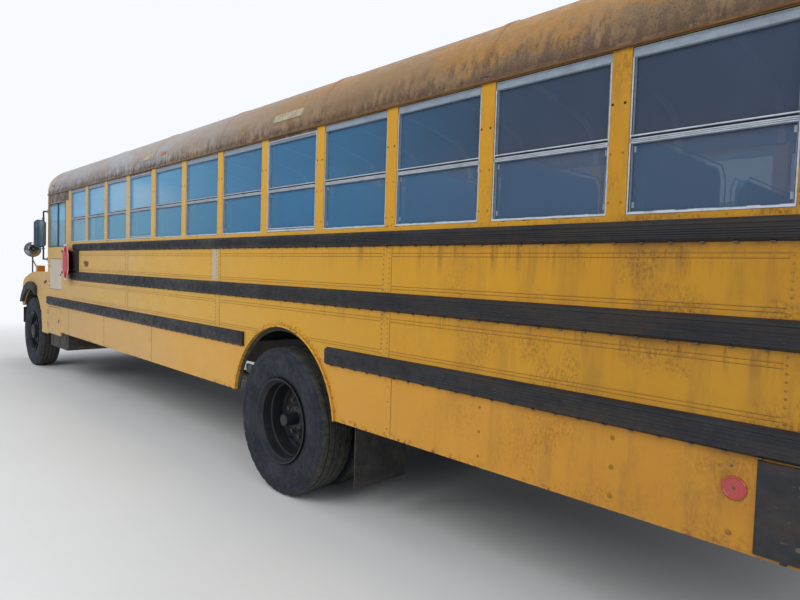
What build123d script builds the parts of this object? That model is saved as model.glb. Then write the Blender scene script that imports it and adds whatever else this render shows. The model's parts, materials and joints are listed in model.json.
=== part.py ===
from build123d import *
import os
from math import cos, sin, tan, radians, sqrt

# School bus with the engine ahead of the body, in millimetres.
# +X is forward, +Y is the driver's side, +Z is up; the origin is on the ground under the middle of the bus.

# Driving sizes: length of the bus
wheelbase = 7010
post_pitch = 675
window_count = 12
front_overhang = 760
front_axle_to_post = 2054
cowl_ahead_of_post = 1107
rear_wall_behind_post = 202
bumper_standoff = 96

# Driving sizes: body cross-section
side_y = 1197
wall = 45
skirt_sheet = 25
skirt_z = 663
floor_z = 1090
floor_thick = 40
belt_split_z = 1069
sill_z = 1876
gutter_z = 2560
roof_corner_radius = 388
crown_half_angle = 16
plan_radius_front = 90
plan_radius_rear = 140
brow_radius_front = 330
brow_radius_rear = 260
brow_lift = 4
plan_lift = 2
post_width = 84
panel_gap = 6
seat_gap = 0.3

# Driving sizes: wheels
tyre_radius = 527
tyre_width = 279
rim_radius = 286
dual_spacing = 330
front_track_half = 1018
rear_outer_y = 1050
kingpin_y = 846
steer_limit = 38

# Worked out places along the bus
post_span = post_pitch * window_count
tail_length = post_span + rear_wall_behind_post + front_axle_to_post - wheelbase
overall_length = front_overhang + wheelbase + tail_length + bumper_standoff
front_axle_x = overall_length / 2 - front_overhang
rear_axle_x = front_axle_x - wheelbase
first_post_x = front_axle_x - front_axle_to_post
body_front_x = first_post_x + cowl_ahead_of_post
body_rear_x = first_post_x - post_span - rear_wall_behind_post
axle_z = tyre_radius


def post_x(index):
    return first_post_x - post_pitch * index


# The front and rear caps meet the side walls on these stations.
cap_front_x = body_front_x - 97
cap_rear_x = post_x(window_count) - post_width / 2


def block(x, y, z):
    """A box between the two values of each pair."""
    size = [abs(pair[1] - pair[0]) for pair in (x, y, z)]
    middle = [(pair[0] + pair[1]) / 2 for pair in (x, y, z)]
    return Pos(*middle) * Box(*size)


def both(solid):
    """The solid and its mirror image on the other side of the bus."""
    return [solid, mirror(solid, about=Plane.XZ)]


def along_x(points, start, end):
    """A Y-Z outline pushed along the bus from one station to another."""
    outline = [(start, y, z) for y, z in points]
    face = make_face(Polyline(*outline, close=True))
    return extrude(face, amount=end - start, dir=(1, 0, 0))


def along_y(points, start, end):
    """An X-Z outline pushed across the bus."""
    outline = [(x, start, z) for x, z in points]
    face = make_face(Polyline(*outline, close=True))
    return extrude(face, amount=end - start, dir=(0, 1, 0))


def along_z(points, start, end):
    """An X-Y outline pushed up."""
    outline = [(x, y, start) for x, y in points]
    face = make_face(Polyline(*outline, close=True))
    return extrude(face, amount=end - start, dir=(0, 0, 1))


def rod(start, end, radius):
    """A round bar between two points."""
    line = Line(start, end)
    return sweep(Plane(origin=start, z_dir=line % 0) * Circle(radius), path=line)


def disc_y(x, y, z, radius):
    """A cylinder across the bus between the two values of y."""
    length = y[1] - y[0]
    return Pos(x, (y[0] + y[1]) / 2, z) * Rot(90, 0, 0) * Cylinder(radius, length)


def disc_x(x, y, z, radius):
    """A cylinder along the bus between the two values of x."""
    length = x[1] - x[0]
    return Pos((x[0] + x[1]) / 2, y, z) * Rot(0, 90, 0) * Cylinder(radius, length)


def butt_hinge(place, standoff, half_length):
    """Hinge on a flat face: ears with a pin for the fixed side and a barrel with a tab for the door.

    The face is local y = 0 with the outside at +y; the fixed side is at -x and the door at +x.
    """
    radius = standoff - hinge_clear
    reach = 4 * radius
    barrel_half = half_length / 2
    fixed = Pos(0, standoff, 0) * Cylinder(hinge_pin_radius, 2 * half_length)
    ear = [(-reach, -1), (0, -1), (radius, standoff - radius / 2), (radius, standoff + radius / 2),
           (radius / 2, standoff + radius), (-radius / 2, standoff + radius), (-reach, 3)]
    for level in (-1, 1):
        z = sorted((level * (barrel_half + seat_gap), level * half_length))
        fixed += along_z(ear, *z)
    tab = along_z([(-x, y) for x, y in reversed(ear)], -barrel_half, barrel_half)
    moving = tab - Pos(0, standoff, 0) * Cylinder(hinge_pin_radius + kingpin_play, 2 * half_length)
    return place * fixed, place * moving


hinge_clear = 3
hinge_pin_radius = 3
kingpin_play = 0.06

parts = {}


def keep(name, solids):
    """Put one named sub-part aside for writing."""
    if not isinstance(solids, (list, tuple)):
        solids = [solids]
    flat = []
    for item in solids:
        flat.extend(item.solids())
    shape = flat[0] if len(flat) == 1 else Compound(children=flat)
    shape.label = name
    parts[name] = shape


# Body envelope

def roof_section(inset):
    """The body's cross-section: straight sides, corner arcs and a shallow crown arc."""
    half = side_y - inset
    corner = roof_corner_radius - inset
    angle = radians(crown_half_angle)
    corner_y = side_y - roof_corner_radius
    blend_y = corner_y + corner * sin(angle)
    blend_z = gutter_z + corner * cos(angle)
    mid = radians((90 + crown_half_angle) / 2)
    mid_y = corner_y + corner * sin(mid)
    mid_z = gutter_z + corner * cos(mid)
    crown_radius = blend_y / sin(angle)
    crown_z = blend_z + crown_radius * (1 - cos(angle))
    left = body_rear_x - 200
    floor_line = Line((left, half, 0), (left, -half, 0))
    right_side = Line((left, -half, 0), (left, -half, gutter_z))
    right_arc = ThreePointArc((left, -half, gutter_z), (left, -mid_y, mid_z), (left, -blend_y, blend_z))
    crown = ThreePointArc((left, -blend_y, blend_z), (left, 0, crown_z), (left, blend_y, blend_z))
    left_arc = ThreePointArc((left, blend_y, blend_z), (left, mid_y, mid_z), (left, half, gutter_z))
    left_side = Line((left, half, gutter_z), (left, half, 0))
    return make_face(Wire([*floor_line.edges(), *right_side.edges(), *right_arc.edges(), *crown.edges(),
                           *left_arc.edges(), *left_side.edges()]))


def crown_top():
    """Height of the roof over the aisle."""
    angle = radians(crown_half_angle)
    blend_y = side_y - roof_corner_radius + roof_corner_radius * sin(angle)
    return gutter_z + roof_corner_radius * cos(angle) + blend_y / sin(angle) * (1 - cos(angle))


def rounded_outline(low, high, radii):
    """A rectangle with its own radius at each corner: (low, low), (high, low), (high, high), (low, high)."""
    corners = [(low[0], low[1]), (high[0], low[1]), (high[0], high[1]), (low[0], high[1])]
    sketch = make_face(Polyline(*corners, close=True))
    for corner, radius in zip(corners, radii):
        if radius > 0:
            spots = [v for v in sketch.vertices() if abs(v.X - corner[0]) < 1 and abs(v.Y - corner[1]) < 1]
            sketch = fillet(spots, radius)
    return sketch


def envelope(inset):
    """The body's outer form, or the cabin's inner form when it is set in by a wall."""
    length = body_front_x - body_rear_x + 400
    cross = extrude(roof_section(inset), amount=length, dir=(1, 0, 0))
    low = (body_rear_x + inset, -100)
    high = (body_front_x - inset, crown_top() - inset + brow_lift)
    side = rounded_outline(low, high, (0, 0, brow_radius_front - inset, brow_radius_rear - inset))
    side = extrude(Plane.XZ * side, amount=2 * side_y, both=True)
    plan_low = (body_rear_x + inset - plan_lift, -side_y + inset - plan_lift)
    plan_high = (body_front_x - inset + plan_lift, side_y - inset + plan_lift)
    radii = (plan_radius_rear - inset, plan_radius_front - inset)
    plan = rounded_outline(plan_low, plan_high, (radii[0], radii[1], radii[1], radii[0]))
    plan = extrude(plan, amount=2 * crown_top(), both=True)
    return cross & side & plan


body_outer = envelope(0)
cabin_inner = envelope(wall)
body_shell = body_outer - cabin_inner
skirt_shell = body_outer - envelope(skirt_sheet)

everywhere = 20000
left_half = (0, everywhere)
right_half = (-everywhere, 0)
body_run = (cap_rear_x, cap_front_x)

# Openings in the body, as (front station, rear station) behind the first post and (low, high)
arch_x = rear_axle_x - 30
arch_z = 577
arch_radius = 629
driver_window_x = (first_post_x + 182, cap_front_x)
driver_window_z = (1816, 2420)
battery_x = (first_post_x + 392, cap_front_x)
battery_z = (613, 988)
electric_x = (first_post_x + 347, first_post_x + 934)
electric_z = (1235, 1659)
doorway_x = (first_post_x + 218, cap_front_x - 40)
doorway_z = (380, 2430)
rear_door_y = 480
rear_door_z = (1095, 2440)
well_sheet = 8
well_x = (doorway_x[0] - well_sheet, doorway_x[1] + well_sheet)
jamb = 60
window_top_z = 2545


# Door hinges: the axis stands off the panel in the middle of the gap, and each door has its levels.
door_standoff = 12
hatch_standoff = 9
rear_hinge_y = -rear_door_y + panel_gap / 2
rear_hinge_levels = (1250, 1780, 2300)
leaf_hinge_levels = (1180, 2300)
battery_hinge_levels = (730, 910)
electric_hinge_levels = (1310, 1585)


def rear_hinges():
    turn = Rot(0, 0, 90)
    return [butt_hinge(Pos(body_rear_x, rear_hinge_y, z) * turn, door_standoff, 50) for z in rear_hinge_levels]


def leaf_hinges(front):
    x = doorway_x[1] - panel_gap / 2 if front else doorway_x[0] + panel_gap / 2
    places = [Pos(x, -side_y, z) * Rot(0, 0, 180) for z in leaf_hinge_levels]
    pairs = [butt_hinge(place, door_standoff, 40) for place in places]
    if front:
        return pairs
    flip = Plane(origin=(x, 0, 0), z_dir=(1, 0, 0))
    return [[mirror(solid, about=flip) for solid in pair] for pair in pairs]


def hatch_hinges(x, levels):
    """Hinges on the left side whose door lies behind the station x."""
    flip = Plane(origin=(x, 0, 0), z_dir=(1, 0, 0))
    pairs = [butt_hinge(Pos(x, side_y, z), hatch_standoff, 30) for z in levels]
    return [[mirror(solid, about=flip) for solid in pair] for pair in pairs]


def window_x(index):
    """Front and rear edges of a passenger window."""
    return (post_x(index + 1) + post_width / 2, post_x(index) - post_width / 2)


def build_skirts():
    """Lower side sheets with the wheel arches, the battery opening and the stepwell opening."""
    ring = skirt_shell & block(body_run, (-everywhere, everywhere), (skirt_z, belt_split_z))
    ring -= block((-everywhere, everywhere), (-side_y + wall + 30, side_y - wall - 30), (0, everywhere))
    ring -= disc_y(arch_x, (-side_y - 50, side_y + 50), arch_z, arch_radius)
    ring -= block(battery_x, (0, side_y + 50), (0, battery_z[1]))
    ring -= block((well_x[0] - seat_gap, everywhere), right_half, (0, everywhere))
    lips = []
    for side in (-1, 1):
        hoop = disc_y(arch_x, (side * side_y - 14, side * side_y + 14), arch_z, arch_radius + 14)
        hoop -= disc_y(arch_x, (side * side_y - 20, side * side_y + 20), arch_z, arch_radius)
        lips.append(hoop & block((-everywhere, everywhere), (-everywhere, everywhere), (skirt_z, belt_split_z)))
    return ring + lips[0] + lips[1]


def build_side(side):
    """Belt panels between the floor and the window sills, on one side."""
    half = left_half if side > 0 else right_half
    panel = body_shell & block(body_run, half, (belt_split_z, sill_z))
    panel -= block((-everywhere, everywhere), (-side_y + wall, side_y - wall), (0, everywhere))
    panel -= disc_y(arch_x, (-side_y - 50, side_y + 50), arch_z, arch_radius)
    hoop = disc_y(arch_x, (side * side_y - 14, side * side_y + 14), arch_z, arch_radius + 14)
    hoop -= disc_y(arch_x, (side * side_y - 20, side * side_y + 20), arch_z, arch_radius)
    panel += hoop & block((-everywhere, everywhere), (-everywhere, everywhere), (belt_split_z, everywhere))
    if side > 0:
        panel -= block(electric_x, (side_y - 30, side_y + 50), electric_z)
        panel -= block(driver_window_x, (0, side_y + 50), (driver_window_z[0], everywhere))
        for fixed, moving in hatch_hinges(electric_x[1] - panel_gap / 2, electric_hinge_levels):
            panel += fixed
    else:
        panel -= block((doorway_x[0] - jamb, everywhere), right_half, (0, everywhere))
    return panel


def build_entrance_frame():
    """Door surround: two jambs and the header over the leaves, with the front jamb's foot."""
    frame = body_shell & block((doorway_x[0] - jamb, cap_front_x), right_half, (belt_split_z, gutter_z))
    frame -= block((-everywhere, everywhere), (-side_y + wall, side_y - wall), (0, everywhere))
    frame -= block(doorway_x, right_half, (0, doorway_z[1]))
    foot = skirt_shell & block((well_x[1] + seat_gap, cap_front_x), right_half, (skirt_z, belt_split_z))
    foot -= block((-everywhere, everywhere), (-side_y + wall, side_y), (0, everywhere))
    frame += foot
    for front in (True, False):
        for fixed, moving in leaf_hinges(front):
            frame += fixed
    return frame


def build_window_posts():
    """Posts and header band between the sills and the roof, with the windows cut out."""
    posts = []
    for side in (1, -1):
        half = left_half if side > 0 else right_half
        band = body_shell & block(body_run, half, (sill_z, gutter_z))
        band -= block((-everywhere, everywhere), (-side_y + wall, side_y - wall), (0, everywhere))
        for index in range(window_count):
            band -= block(window_x(index), (-2 * side_y, 2 * side_y), (sill_z - 1, window_top_z))
        if side > 0:
            band -= block(driver_window_x, (0, 2 * side_y), (0, driver_window_z[1]))
        else:
            band -= block((doorway_x[0] - jamb, everywhere), right_half, (0, everywhere))
        posts.append(band)
    return posts


sash_frame = 12
sash_header = 44
sash_depth = 26
sash_recess = 8
meeting_z = 2178
meeting_height = 36


def build_sashes():
    """Aluminium window frames with a meeting rail, one in each window opening."""
    frames = []
    outer_y = side_y - sash_recess
    for index in range(window_count):
        x = window_x(index)
        frame = block(x, (outer_y - sash_depth, outer_y), (sill_z, window_top_z))
        inner = (x[0] + sash_frame, x[1] - sash_frame)
        frame -= block(inner, (0, 2 * side_y), (sill_z + sash_frame, meeting_z - meeting_height / 2))
        frame -= block(inner, (0, 2 * side_y), (meeting_z + meeting_height / 2, window_top_z - sash_header))
        frames.extend(both(frame))
    return frames


glass_thick = 5


def build_body_glass():
    """Side panes, the driver's window, the windshield and the two windows beside the rear door."""
    panes = []
    pane_y = side_y - sash_recess - sash_depth / 2
    for index in range(window_count):
        x = window_x(index)
        inner = (x[0] + sash_frame, x[1] - sash_frame)
        for z in ((sill_z + sash_frame, meeting_z - meeting_height / 2),
                  (meeting_z + meeting_height / 2, window_top_z - sash_header)):
            panes.extend(both(block(inner, (pane_y - glass_thick, pane_y), z)))
    panes.append(block(driver_window_x, (pane_y - glass_thick, pane_y), driver_window_z))
    for side in (-1, 1):
        y = (side * rear_window_y[0], side * rear_window_y[1])
        panes.append(block((body_rear_x + 20, body_rear_x + 20 + glass_thick), y, rear_window_z))
        y = (side * windshield_y[0], side * windshield_y[1])
        panes.append(block((body_front_x - 26, body_front_x - 20), y, windshield_z))
    return panes


rear_window_y = (570, 1020)
rear_window_z = (1876, 2440)


floor_rail_z = (1012, 1126)


def build_rub_rails():
    """Pressed black rails along both sides; the floor rail stops each side of the wheel arch."""
    depth = 22
    bevel = 14
    # columns: low, high, front and rear station on the left, front station on the right
    front_right = doorway_x[0] - jamb
    arch_half = sqrt(arch_radius ** 2 - (floor_rail_z[0] - arch_z) ** 2)
    ahead_of_arch = arch_x + arch_half + 53
    behind_arch = arch_x - arch_half - 81
    rows = [
        (*floor_rail_z, body_front_x - plan_radius_front, ahead_of_arch, front_right),
        (*floor_rail_z, behind_arch, body_rear_x + plan_radius_rear, behind_arch),
        (1389, 1498, first_post_x - 70, body_rear_x + plan_radius_rear, front_right),
        (1763, 1851, first_post_x - 200, body_rear_x + plan_radius_rear, front_right),
    ]
    rails = []
    for low, high, front, rear, right_front in rows:
        outline = [(side_y, low), (side_y + depth, low + bevel), (side_y + depth, high - bevel), (side_y, high)]
        rails.append(along_x(outline, rear, front))
        rails.append(mirror(along_x(outline, rear, right_front), about=Plane.XZ))
    return rails


drip_rise = 8
drip_drop = 14


def build_roof():
    """Roof shell between the caps, with a drip rail along each lower edge."""
    run = block(body_run, (-everywhere, everywhere), (gutter_z, everywhere))
    roof = body_shell & run
    drip = block(body_run, (side_y - 6, side_y + 14), (gutter_z, gutter_z + drip_rise))
    drip += block(body_run, (side_y + seat_gap, side_y + 14), (gutter_z - drip_drop, gutter_z + drip_rise))
    for rail in both(drip):
        roof += rail
    return roof


windshield_y = (40, 1060)
windshield_z = (1800, 2400)


def build_front_wall():
    """Front cap: brow, corner posts, windshield frame and the wall under the windshield."""
    cap = body_shell & block((cap_front_x, everywhere), (-everywhere, everywhere), (skirt_z, everywhere))
    for side in (-1, 1):
        y = (side * windshield_y[0], side * windshield_y[1])
        cap -= block((body_front_x - 2 * wall, everywhere), y, windshield_z)
    cap -= block((cap_front_x - 50, everywhere), (-1030, 1030), (0, 1010))
    for fixed, moving in hatch_hinges(battery_x[1] - panel_gap / 2, battery_hinge_levels):
        cap += fixed
    return cap


def build_rear_wall():
    """Rear cap with the doorway and the two windows beside it."""
    cap = body_shell & block((-everywhere, cap_rear_x), (-everywhere, everywhere), (skirt_z, everywhere))
    cap -= block((-everywhere, body_rear_x + 2 * wall), (-rear_door_y, rear_door_y), rear_door_z)
    cap -= block((-everywhere, cap_rear_x + 50), (-1030, 1030), (0, 1000))
    for side in (-1, 1):
        y = (side * rear_window_y[0], side * rear_window_y[1])
        cap -= block((-everywhere, body_rear_x + 2 * wall), y, rear_window_z)
    for fixed, moving in rear_hinges():
        cap += fixed
    return cap


# Chassis

rail_outer = 432
rail_web = 10
rail_flange = 80
rail_z = (676, 930)
bumper_depth = 140
bumper_plate = 10
engine_x = (front_axle_x - 766, front_axle_x + 334)
gearbox_x = (front_axle_x - 1596, engine_x[0] + 10)
tank_x = (rear_axle_x - 2306, rear_axle_x - 1096)
muffler_x = (rear_axle_x + 2464, rear_axle_x + 3564)
rail_run = (-overall_length / 2 + 12 + seat_gap, overall_length / 2 - bumper_plate - seat_gap)
horn_x = front_axle_x + 534
horn_z = 850
hood_pivot_x = front_axle_x + 644
hood_pivot_z = 884
hood_pin_radius = 10
hood_ear_y = (368, 380)


def battery_box():
    """Box for the batteries on the left rail, hanging below the skirt, with its lower rear corner cut off."""
    rear = first_post_x + 168
    front = cap_front_x - 22
    low, high = battery_box_z
    outline = [(rear + 60, low), (front, low), (front, high), (rear, high), (rear, low + 60)]
    return along_y(outline, rail_outer - rail_web, side_y - battery_box_recess)


battery_box_z = (430, 930)
battery_box_recess = 37


def build_frame_rails():
    """Two channels with their open sides inward, joined by cross members, with the battery box."""
    y = rail_outer
    low, high = rail_z
    outline = [(y, low), (y, high), (y - rail_flange, high), (y - rail_flange, high - rail_web),
               (y - rail_web, high - rail_web), (y - rail_web, low + rail_web),
               (y - rail_flange, low + rail_web), (y - rail_flange, low)]
    left, right = both(along_x(outline, *rail_run))
    ladder = left + right
    # columns: station, low, high
    members = [(front_axle_x + 504, 700, 840), (front_axle_x - 1846, 800, 900), (rear_axle_x + 3364, 720, 880),
               (rear_axle_x + 1464, 720, 880), (rear_axle_x - 956, 720, 880), (tank_x[0] - 90, 720, 880),
               (body_rear_x + 10, 700, 900)]
    for x, bottom, top in members:
        ladder += block((x - 40, x + 40), (-rail_outer + rail_web, rail_outer - rail_web), (bottom, top))
    ladder -= block((horn_x, everywhere), (-everywhere, everywhere), (horn_z, everywhere))
    plate_x = rail_outer - rail_web - 1
    arm = [(horn_x - 60, rail_z[0] + 40), (horn_x + 30, rail_z[0] + 40), (horn_x + 50, hood_pivot_z - 16),
           (hood_pivot_x, hood_pivot_z - 16), (hood_pivot_x + 14, hood_pivot_z), (hood_pivot_x, hood_pivot_z + 12),
           (horn_x - 60, hood_pivot_z + 12)]
    for side in (-1, 1):
        bracket = along_y(arm, side * (hood_ear_y[1] + 4), side * (hood_ear_y[1] + 14))
        bracket += block((horn_x - 60, horn_x + 30), sorted((side * (hood_ear_y[1] + 4), side * plate_x)),
                         (rail_z[0] + 40, rail_z[0] + 60))
        pin_y = sorted((side * (hood_ear_y[0] - 6), side * (hood_ear_y[1] + 10)))
        bracket += disc_y(hood_pivot_x, pin_y, hood_pivot_z, hood_pin_radius)
        ladder += bracket
    ladder += battery_box()
    return ladder


def build_leaf_spring(x, y, low, half, width):
    """A pack of two leaves, bowed down to the axle seat, with an eye at each end."""
    thick = 32
    rise = rail_z[0] - low - 60
    top = low + thick
    lower = ThreePointArc((x - half, y, low + rise), (x, y, low), (x + half, y, low + rise))
    upper = ThreePointArc((x + half, y, top + rise), (x, y, top), (x - half, y, top + rise))
    ends = [Line(lower @ 1, upper @ 0), Line(upper @ 1, lower @ 0)]
    face = make_face(Wire([*lower.edges(), *ends[0].edges(), *upper.edges(), *ends[1].edges()]))
    leaf = extrude(face, amount=width / 2, both=True, dir=(0, 1, 0))
    for end in (-1, 1):
        foot = block((x + end * (half - 20) - 30, x + end * (half - 20) + 30),
                     (y - width / 2, y + width / 2), (low + rise, rail_z[0]))
        leaf += foot
    return leaf


def build_front_axle():
    """Dropped I-beam axle with its springs and the forked kingpin ends."""
    beam = block((front_axle_x - 45, front_axle_x + 45), (-560, 560), (390, 480))
    for side in (-1, 1):
        outline = [(side * 540, 390), (side * 540, 480), (side * 800, axle_z + 56), (side * 800, axle_z - 34)]
        beam += along_x(outline, front_axle_x - 45, front_axle_x + 45)
        boss = Pos(front_axle_x, side * kingpin_y, axle_z + 10) * Cylinder(52, 100)
        beam += boss
    beam -= Pos(front_axle_x, kingpin_y, axle_z) * Cylinder(kingpin_radius + kingpin_play, 400)
    beam -= Pos(front_axle_x, -kingpin_y, axle_z) * Cylinder(kingpin_radius + kingpin_play, 400)
    for side in (-1, 1):
        beam += build_leaf_spring(front_axle_x, side * 392, 480, 570, 76)
        beam += block((front_axle_x - 60, front_axle_x + 60), sorted((side * 354, side * 430)), (470, 500))
    return beam


kingpin_radius = 22
boss_half = 50
spindle_radius = 38


def build_knuckle(side):
    """Steering knuckle: a fork over the axle's boss, the kingpin, the stub axle and the tie rod arm."""
    y = side * kingpin_y
    centre = axle_z + 10
    fork = Pos(front_axle_x, y, centre + boss_half + 22.5) * Cylinder(54, 44)
    fork += Pos(front_axle_x, y, centre - boss_half - 22.5) * Cylinder(54, 44)
    fork += Pos(front_axle_x, y, centre) * Cylinder(kingpin_radius, 2 * boss_half + 60)
    web_y = sorted((y + side * 58, y + side * 82))
    fork += block((front_axle_x - 50, front_axle_x + 50), web_y, (centre - boss_half - 44, centre + boss_half + 44))
    for level in (1, -1):
        z = centre + level * (boss_half + 22.5)
        fork += block((front_axle_x - 40, front_axle_x + 40), sorted((y, y + side * 70)), (z - 22, z + 22))
    stub = sorted((y + side * 60, side * (front_track_half + 96)))
    fork += disc_y(front_axle_x, stub, axle_z, spindle_radius)
    arm_low = centre - boss_half - 40
    arm = block((front_axle_x - tie_rod_back, front_axle_x), sorted((y - side * 24, y + side * 24)),
                (arm_low - 2, arm_low + 20))
    fork += arm
    fork += Pos(front_axle_x - tie_rod_back, y, arm_low + 9) * Cylinder(34, 22)
    fork += Pos(front_axle_x - tie_rod_back, y, arm_low - 26) * Cylinder(tie_pin_radius, 60)
    return fork


tie_rod_back = 190
tie_pin_radius = 11
tie_rod_z = axle_z + 10 - boss_half - 40 - 38


def build_tie_rod():
    """Track rod with an eye round each steering arm's pin."""
    x = front_axle_x - tie_rod_back
    bar = rod((x, -kingpin_y + 20, tie_rod_z), (x, kingpin_y - 20, tie_rod_z), 16)
    for side in (-1, 1):
        bar += Pos(x, side * kingpin_y, tie_rod_z) * Cylinder(30, 34)
    for side in (-1, 1):
        bar -= Pos(x, side * kingpin_y, tie_rod_z) * Cylinder(tie_pin_radius + kingpin_play, 100)
    return bar


def build_driveline():
    """Rear axle housing with its springs, and the propeller shaft running forward to the gearbox."""
    housing = disc_y(rear_axle_x, (-560, 560), axle_z, 66)
    housing += disc_x((rear_axle_x - 150, rear_axle_x + 150), 0, axle_z, 175)
    housing += disc_y(rear_axle_x, (-rear_outer_y - 90, rear_outer_y + 90), axle_z, spindle_radius)
    housing += disc_x((rear_axle_x + 150, rear_axle_x + 330), 0, axle_z + 10, 70)
    shaft_start = (rear_axle_x + 320, 0, axle_z + 10)
    housing += rod(shaft_start, (gearbox_x[0] - 2.5, 0, gearbox_z), 45)
    for side in (-1, 1):
        housing += build_leaf_spring(rear_axle_x, side * 490, axle_z + 66, 700, 80)
        housing += block((rear_axle_x - 60, rear_axle_x + 60), sorted((side * 450, side * 530)), (axle_z, axle_z + 80))
        hangers = [block((rear_axle_x + end * 680 - 30, rear_axle_x + end * 680 + 30),
                         sorted((side * rail_outer, side * 530)), (640, 760)) for end in (-1, 1)]
        housing += hangers[0] + hangers[1]
    return housing


gearbox_z = 740


def build_engine():
    """Engine with its gearbox as one plain block."""
    engine = block(engine_x, (-300, 300), (620, 1330))
    return engine + block(gearbox_x, (-200, 200), (600, 900))


def build_fuel_tank():
    """Rounded tank between the frame rails behind the rear axle."""
    tank = fillet(block(tank_x, (-330, 330), (500, 900)).edges().filter_by(Axis.X), 60)
    hanger_y = rail_outer - rail_web - seat_gap
    for x in (tank_x[0] + 250, tank_x[1] - 250):
        tank += block((x - 30, x + 30), (-hanger_y, hanger_y), (880, rail_z[1] - rail_web - seat_gap))
    return tank


def build_exhaust():
    """Muffler under the left side and a tailpipe that passes over the axle to the rear."""
    muffler = disc_x(muffler_x, 640, 640, 120)
    tube = 45
    rear_route = [(muffler_x[0] + 1, 640, 600), (rear_axle_x + 1164, 640, 600), (rear_axle_x + 904, 260, 600),
                  (rear_axle_x + 564, 260, 770), (rear_axle_x - 486, 260, 770), (rear_axle_x - 736, 260, 600),
                  (rear_axle_x - 986, 640, 600), (rail_run[0] + 20, 640, 600)]
    front_route = [(muffler_x[1] - 1, 640, 600), (front_axle_x - 2346, 640, 600), (front_axle_x - 2046, 270, 600),
                   (front_axle_x - 1696, 270, 600), (front_axle_x - 1246, 270, 680),
                   (engine_x[0] - seat_gap, 270, 680)]
    for route in (rear_route, front_route):
        path = Polyline(*route)
        muffler += sweep(Plane(origin=path @ 0, z_dir=path % 0) * Circle(tube), path=path,
                         transition=Transition.RIGHT)
    return muffler


house_half = 640
house_top = 1236


sill_low = 980


def house_span():
    """Front and rear stations of the wheelhouses over the dual tyres."""
    return (rear_axle_x - house_half, rear_axle_x + house_half)


def build_floor():
    """Flat floor plate, cut round the wheelhouses and the entrance steps."""
    inner = side_y - wall - 1
    plate = block((body_rear_x, body_front_x), (-inner, inner), (floor_z - floor_thick, floor_z))
    plate &= envelope(wall + 1)
    start, end = house_span()
    for side in (-1, 1):
        y = sorted((side * (house_inner - seat_gap), side * 2 * side_y))
        plate -= block((start - seat_gap, end + seat_gap), y, (0, floor_z + 1))
    plate -= block((well_x[0] - seat_gap, well_x[1] + seat_gap), (-everywhere, well_inner + seat_gap), (0, everywhere))
    return plate


def build_floor_sills():
    """Cross sills under the floor plate, on two long sills that rest on the frame rails."""
    half = side_y - wall - 21
    sills = []
    for index in range(window_count + 1):
        x = post_x(index) + 60
        if abs(x - rear_axle_x) > house_half + 30:
            sills.append(block((x - 25, x + 25), (-half, half), (sill_low, floor_z - floor_thick - seat_gap)))
    for side in (-1, 1):
        y = sorted((side * (rail_outer - 60), side * rail_outer))
        x = (body_rear_x + 60, well_x[0] - 20)
        sills.append(block(x, y, (rail_z[1] + seat_gap, sill_low - seat_gap)))
    return sills


house_inner = 560
house_sheet = 8


def build_wheelhouses():
    """Boxes over the dual tyres, closed towards the cabin and open below and outside."""
    start, end = house_span()
    inner = side_y - wall - 1
    house = block((start, end), (house_inner, inner), (floor_z - floor_thick, house_top))
    hollow = block((start + house_sheet, end - house_sheet), (house_inner + house_sheet, 2 * side_y),
                   (0, house_top - house_sheet))
    return both(house - hollow)


well_inner = -600
well_outer = -side_y + 8
step_count = 3


def build_stepwell():
    """Entrance steps: treads, risers and the two cheek plates up to the floor."""
    rise = (floor_z - doorway_z[0]) / step_count
    going = (well_inner - well_outer) / step_count
    well = []
    for x in (well_x[0], well_x[1] - well_sheet):
        well.append(block((x, x + well_sheet), (well_outer, well_inner), (doorway_z[0] - well_sheet, floor_z)))
    steps = well[0] + well[1]
    for number in range(step_count):
        z = doorway_z[0] + rise * number
        y = well_outer + going * number
        back = y + going
        steps += block(well_x, (max(y - well_sheet, well_outer), back), (z - well_sheet, z))
        steps += block(well_x, (back - well_sheet, back), (z - well_sheet, z + rise))
    steps -= block((-everywhere, everywhere), (-everywhere, -side_y + wall + seat_gap), (belt_split_z - seat_gap, everywhere))
    return steps


def build_mud_flaps():
    """Rubber flaps behind the dual wheels, hung from a crossbar under the floor."""
    x = rear_axle_x - 714
    flap = block((x - 6, x + 6), (600, side_y - skirt_sheet - 12), (200, floor_z - floor_thick - seat_gap))
    return both(flap)


# Wheels

def tyre_profile(centre_y, shoulder_side):
    """One tyre as a revolved section, with a sloped shoulder on the side that shows."""
    half = tyre_width / 2
    # columns: distance from the middle plane, radius
    rows = [(-half, rim_radius), (-half, tyre_radius), (half, tyre_radius), (half, rim_radius)]
    if shoulder_side:
        edge = [(half * 0.86, tyre_radius), (half, tyre_radius - 22)]
        rows = rows[:2] + edge + rows[3:]
    way = shoulder_side or 1
    points = [(0, centre_y + way * across, radius) for across, radius in rows]
    face = make_face(Polyline(*points, close=True))
    return revolve(face, axis=Axis.Y)


def place_wheel(solid, x):
    return Pos(x, 0, axle_z) * solid


def rim_profile(centre_y, disc_y_low, way, hub_radius):
    """Disc wheel in one revolved section: a barrel inside the tyre and a disc from it in to the hub."""
    half = tyre_width * 0.36
    barrel_inner = rim_radius - 12
    seat = rim_radius - seat_gap
    lip = centre_y + way * half
    end = disc_y_low
    disc = end + way * rim_disc_thick
    # columns: place across, radius
    rows = [(lip, barrel_inner), (lip, seat), (end, seat), (end, hub_radius), (disc, hub_radius), (disc, barrel_inner)]
    return revolve(make_face(Polyline(*[(0, y, r) for y, r in rows], close=True)), axis=Axis.Y)


rim_disc_thick = 14


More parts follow.
